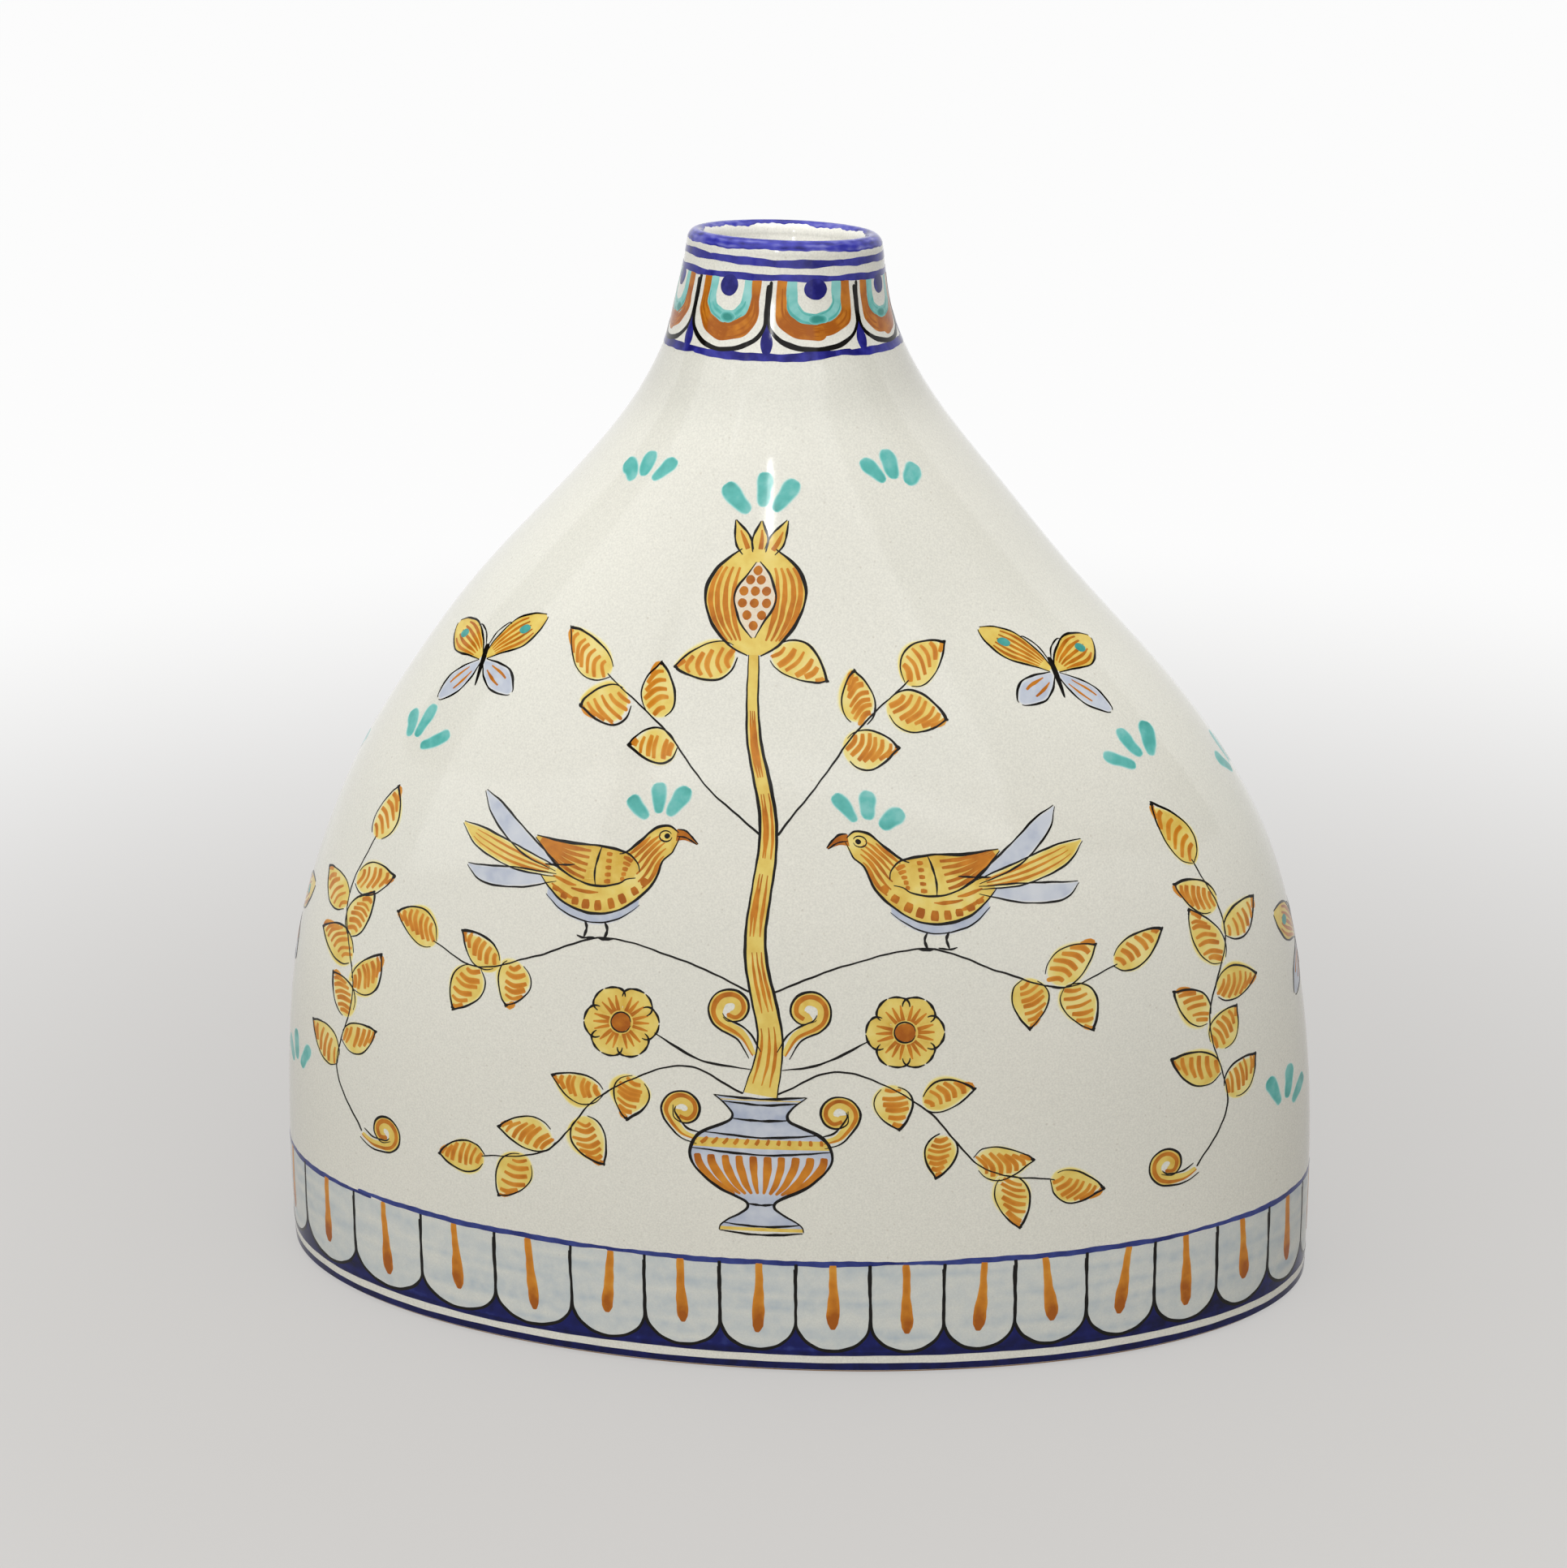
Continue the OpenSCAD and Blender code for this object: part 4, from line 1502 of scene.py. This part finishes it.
def urn(paints, paper):
    left, right = swelling(urn_rows, 0.6)
    strength = 0.62 + tremor(np.linspace(0, 40, len(left)), 0.16)
    lay(paints.lilac, paper, left, right, strength, soft=-0.2)

    def row_at(height):
        return int(np.argmin(np.abs(left[:, 1] - height)))

    streaked(paints, paper, (left, right), np.linspace(0.05, 0.95, 10), slice(row_at(-9), row_at(3.5), 5),
             2.4, (0.35, 0.8, 1, 0.9), (0.75, 0.6, 0.9), 0.08)
    for low, high in ((4.5, 8.6), (18.2, 19.9), (-19.9, -17.4)):
        band = slice(row_at(low), row_at(high))
        lay(paints.yellow, paper, left[band], right[band], 0.75)
    for share in np.linspace(0.06, 0.94, 12):
        start = between(left, right, share)[row_at(5.2)]
        end = between(left, right, share + 0.03)[row_at(8.0)]
        tick = [start, (start + end) / 2 + [0.2, 0], end]
        stroke(paints.orange, paper, tick, 1.3, (0.8, 1, 0.6), (0.85, 0.7), 0.04)
    for height in (-19.9, -17.3, -11.4, 4.2, 8.8, 13.5, 18.0, 19.9):
        i = row_at(height)
        sag = np.array([0, -0.035 * abs(right[i, 0] - left[i, 0])])
        ink(paints, paper, [left[i], (left[i] + right[i]) / 2 + sag, right[i]], 0.75)
    inked(paints, paper, (left, right), 0.95)
    for flip in (1, -1):
        arm = np.array([(16.5, 7), (21, 8.5), (24.5, 13)]) * [flip, 1]
        scroll(paints, paper, arm, (25 * flip, 15), 90, 4.2, 1.05, flip, 3.4)


print("the urn is", max(width for _, _, width in urn_rows), "mm wide")


# %% [markdown]
# ### Composition
#
# The two broad faces carry the same tree, mirrored about its trunk as old tree designs are. Branches are laid
# out as points in millimetres from the trunk, and each half gets its own tremor. The back has blossoms in
# place of the birds, and a butterfly fills each narrow side.

# %% Trunk
tree_root = 100
trunk_rows = [(0, -16.6, 9), (2.4, 0, 6.6), (-2.2, 26, 5.4), (1.8, 56, 4.4), (-1.2, 80, 3.4), (0, 101, 2.6)]


def trunk(paints, paper):
    left, right = swelling(trunk_rows)
    lay(paints.yellow, paper, left, right, 0.65 + tremor(np.linspace(0, 110, len(left)), 0.1))
    for share in (0.28, 0.5, 0.74):
        for begin in range(4, len(left) - 24, 30):
            streaked(paints, paper, (left, right), [share + hand.normal(0, 0.06)],
                     slice(begin, begin + 26, 5), 1.1, (0.4, 1, 0.9, 0.3), (0.6, 0.85), 0.1)
    ink(paints, paper, left[::2], 0.8)
    ink(paints, paper, right[::2], 0.9)
    return left, right


print("the trunk is", trunk_rows[-1][1] - trunk_rows[0][1], "mm high")

# %% Branches
side_run, side_height = 129, 84


def half_tree(paints, middle, flip, bark, creatures):
    """The branches on one side of the trunk and what stands on them."""
    half = Paper(0, tree_root, flip=flip, middle=middle)

    def at(x, height, **more):
        return Paper(x * flip, height, middle=middle, **more)

    def fork(height):
        """The place on the trunk's edge where a branch leaves it."""
        return np.interp(height, bark[:, 1], bark[:, 0]) * flip, height

    beside = fork(3)[0] + 7.6
    scroll(paints, half, [fork(-5), (beside - 4, 0.5)], (beside, 3), 8, 5.0)
    sprig(paints, half, [fork(-16), (22, -9), (44, -20), (60, -38), (80, -43)], 5, 16, 52, 0.36)
    sprig(paints, half, [fork(13), (20, 20), (42, 25), (62, 18), (80, 12), (95, 17)], 3, 15.5, 54, 0.72)
    sprig(paints, half, [fork(55), (14, 67), (25, 81), (40, 94)], 3, 15.5, 54, 0.55)
    blossom(paints, at(38, 102), 10.5)
    ink(paints, half, [fork(-9), (16, -7), (29, 0)], 0.7)
    if creatures:
        bird(paints, at(43, 138.4, flip=-flip, size=0.95))
    else:
        blossom(paints, at(46, 148), 15, 8)
        leaf(paints, at(46, 148), (12, -10), -40)
        leaf(paints, at(46, 148), (-12, -10), 220)
    butterfly(paints, at(81, 191, turn=-16 * flip, size=0.9))
    dabs(paints, at(36, 238), (0, 0), 90 - 12 * flip, length=9)
    side = at(side_run, side_height, flip=flip)
    sprig(paints, side, [(-10, -30), (1, -13), (-3, 12), (7, 36), (3, 57)], 8, 17, 50, 0.24)
    scroll(paints, side, [(-10, -30), (-14, -32)], (-19, -32), 180, 4.4, 1.1, -1)
    dabs(paints, at(108, 164), (0, 0), 90 + 10 * flip)
    dabs(paints, side, (24, -24), 80)


print("sprigs at the sides stand", side_run, "mm round from the trunk")


# %% Paint the two trees
def whole_tree(paints, middle, creatures):
    left, right = trunk(paints, Paper(0, tree_root, middle=middle))
    urn(paints, Paper(0, 63.5, middle=middle))
    pomegranate(paints, Paper(0, 214, middle=middle))
    for flip, bark in ((1, right), (-1, left)):
        half_tree(paints, middle, flip, bark, creatures)


front_paints = Paints("front")
whole_tree(front_paints, 0.0, True)
for narrow_side in (-math.pi / 2, math.pi / 2):
    butterfly(front_paints, Paper(0, 104, middle=narrow_side))
    dabs(front_paints, Paper(0, 152, middle=narrow_side), (0, 0), 90)
front_paints.finish()
back_paints = Paints("back")
whole_tree(back_paints, math.pi, False)
back_paints.finish()

# %% [markdown]
# ## Studio
#
# The floor and the backdrop are one sweep of paper. The paper is grey enough not to light the pot from below,
# and to the camera and in the gloss it shines by itself, more with distance, so that it ends in white and
# keeps the pot's shadow. Low walls of the same paper stand far out on the other sides for the views from
# there.

# %% Backdrop paper
def backdrop_recipe():
    made, tree = new_material("pale_backdrop_paper")
    place = add(tree, "ShaderNodeTexCoord").outputs["Object"]
    fibre = add(tree, "ShaderNodeTexNoise", {"Vector": place, "Scale": per_mm(220), "Detail": 2.0})
    colour = add(tree, "ShaderNodeMix",
                 {"Factor": fibre.outputs["Fac"], "A": linear("#878179"), "B": linear("#837D75")},
                 data_type="RGBA")
    sheet = add(tree, "ShaderNodeBsdfPrincipled", {"Base Color": colour.outputs["Result"], "Roughness": 0.8})
    far = add(tree, "ShaderNodeVectorMath", {0: place}, operation="LENGTH")
    beyond = add(tree, "ShaderNodeMapRange",
                 {"Value": far.outputs["Value"], "From Min": 0.12, "From Max": 0.9,
                  "To Min": 0.47, "To Max": 0.97}, interpolation_type="SMOOTHSTEP")
    rays = add(tree, "ShaderNodeLightPath")
    seen = add(tree, "ShaderNodeMath",
               {0: rays.outputs["Is Camera Ray"], 1: rays.outputs["Is Glossy Ray"]}, operation="MAXIMUM")
    shown = add(tree, "ShaderNodeMath",
                {0: seen.outputs["Value"], 1: rays.outputs["Is Transmission Ray"]}, operation="MAXIMUM")
    share = add(tree, "ShaderNodeMath",
                {0: shown.outputs["Value"], 1: beyond.outputs["Result"]}, operation="MULTIPLY")
    white = add(tree, "ShaderNodeEmission", {"Color": linear("#FFFFFF"), "Strength": 1.0})
    surface = add(tree, "ShaderNodeMixShader",
                  {"Fac": share.outputs["Value"], 1: sheet.outputs["BSDF"], 2: white.outputs["Emission"]})
    add(tree, "ShaderNodeOutputMaterial", {"Surface": surface.outputs["Shader"]})
    return made


backdrop_paper = backdrop_recipe()
print("paper recipe:", len(backdrop_paper.node_tree.nodes), "nodes")


# %% Sweep and walls
def paper_strip(name, points):
    """A strip of paper through pairs of points, in metres."""
    faces = [(i, i + 1, i + 3, i + 2) for i in range(0, len(points) - 2, 2)]
    mesh = bpy.data.meshes.new(name)
    mesh.from_pydata(points, [], faces)
    mesh.shade_smooth()
    mesh.materials.append(backdrop_paper)
    sheet = bpy.data.objects.new(name, mesh)
    bpy.context.scene.collection.objects.link(sheet)


studio_reach = 12.0
wall_height = 1.9
sweep_start, sweep_radius, sweep_top = 1.6, 1.2, 5.0
backdrop_run = 2.8
sweep_arc = arc(np.array([sweep_start, sweep_radius]), sweep_radius, -90, 0, 24)
sweep_line = np.vstack([[[-studio_reach, 0.0]], sweep_arc, [[backdrop_run, sweep_top]]])
paper_strip("paper_sweep", [(x, y, z) for y, z in sweep_line for x in (-studio_reach, studio_reach)])
corners = [(studio_reach, backdrop_run), (studio_reach, -studio_reach),
           (-studio_reach, -studio_reach), (-studio_reach, backdrop_run)]
paper_strip("far_paper_wall", [(x, y, z) for x, y in corners for z in (0.0, wall_height)])
print("studio floor reaches", studio_reach, "m")

# %% [markdown]
# ### Light
#
# Most of the light comes from two big sheets of lit paper, one overhead and one behind the camera, as in a
# photographer's light tent. A soft window on each side, the left one stronger, gives the pot its form, and
# a narrow strip leaves the glint on its shoulder. The plain world lifts the shadows a little.

# %% Lights
lamps = {"window_left": dict(azimuth=-52, elevation=18, distance=1.9, width=1.5, height=1.5, watts=8),
         "window_right": dict(azimuth=55, elevation=30, distance=2.2, width=1.8, height=1.6, watts=3),
         "front_paper": dict(azimuth=5, elevation=25, distance=2.2, width=2.6, height=1.6, watts=16),
         "ceiling_paper": dict(azimuth=0, elevation=82, distance=1.6, width=2.6, height=2.2, watts=39),
         "glint_strip": dict(azimuth=-4, elevation=23, distance=1.9, width=0.09, height=0.3, watts=2.2)}
lamp_target = np.array([0, 0, 0.16])


def soft_window(name, azimuth, elevation, distance, width, height, watts):
    """An area lamp that looks at the pot from an azimuth left or right of the front."""
    side, rise = math.radians(azimuth), math.radians(elevation)
    away = np.array([math.sin(side) * math.cos(rise), -math.cos(side) * math.cos(rise), math.sin(rise)])
    lamp = bpy.data.lights.new(name, "AREA")
    lamp.shape = "RECTANGLE"
    lamp.size, lamp.size_y = width, height
    lamp.energy = watts
    holder = bpy.data.objects.new(name, lamp)
    facing = Matrix.Rotation(side, 4, "Z") @ Matrix.Rotation(math.pi / 2 - rise, 4, "X")
    holder.matrix_world = Matrix.Translation(lamp_target + distance * away) @ facing
    bpy.context.scene.collection.objects.link(holder)


for name, settings in lamps.items():
    soft_window(name, **settings)
world = bpy.data.worlds.new("studio_air")
world.use_nodes = True
air = world.node_tree.nodes["Background"].inputs
air["Color"].default_value = linear("#F4E9D8")
air["Strength"].default_value = 0.07
bpy.context.scene.world = world
bpy.context.scene.view_settings.view_transform = "Standard"
print(len(lamps), "lamps,", sum(settings["watts"] for settings in lamps.values()), "W in all")

# %% [markdown]
# ### Camera
#
# The camera stands where the photograph was taken. Its place, its turns and its lens were fitted to the
# vase's outline, foot line and mouth there.

# %% Camera
camera_place = (0.0783, -0.6956, 0.3926)
heading, pitch, roll = 0.1137, 0.3391, -0.0108
camera_data = bpy.data.cameras.new("photo_camera")
camera_data.sensor_width = 36
camera_data.lens = 59.97
camera = bpy.data.objects.new("photo_camera", camera_data)
facing = Matrix.Rotation(heading, 4, "Z") @ Matrix.Rotation(math.pi / 2 - pitch, 4, "X")
camera.matrix_world = Matrix.Translation(camera_place) @ facing @ Matrix.Rotation(roll, 4, "Z")
bpy.context.scene.collection.objects.link(camera)
bpy.context.scene.camera = camera
print("camera looks down by", round(math.degrees(pitch), 1), "degrees")
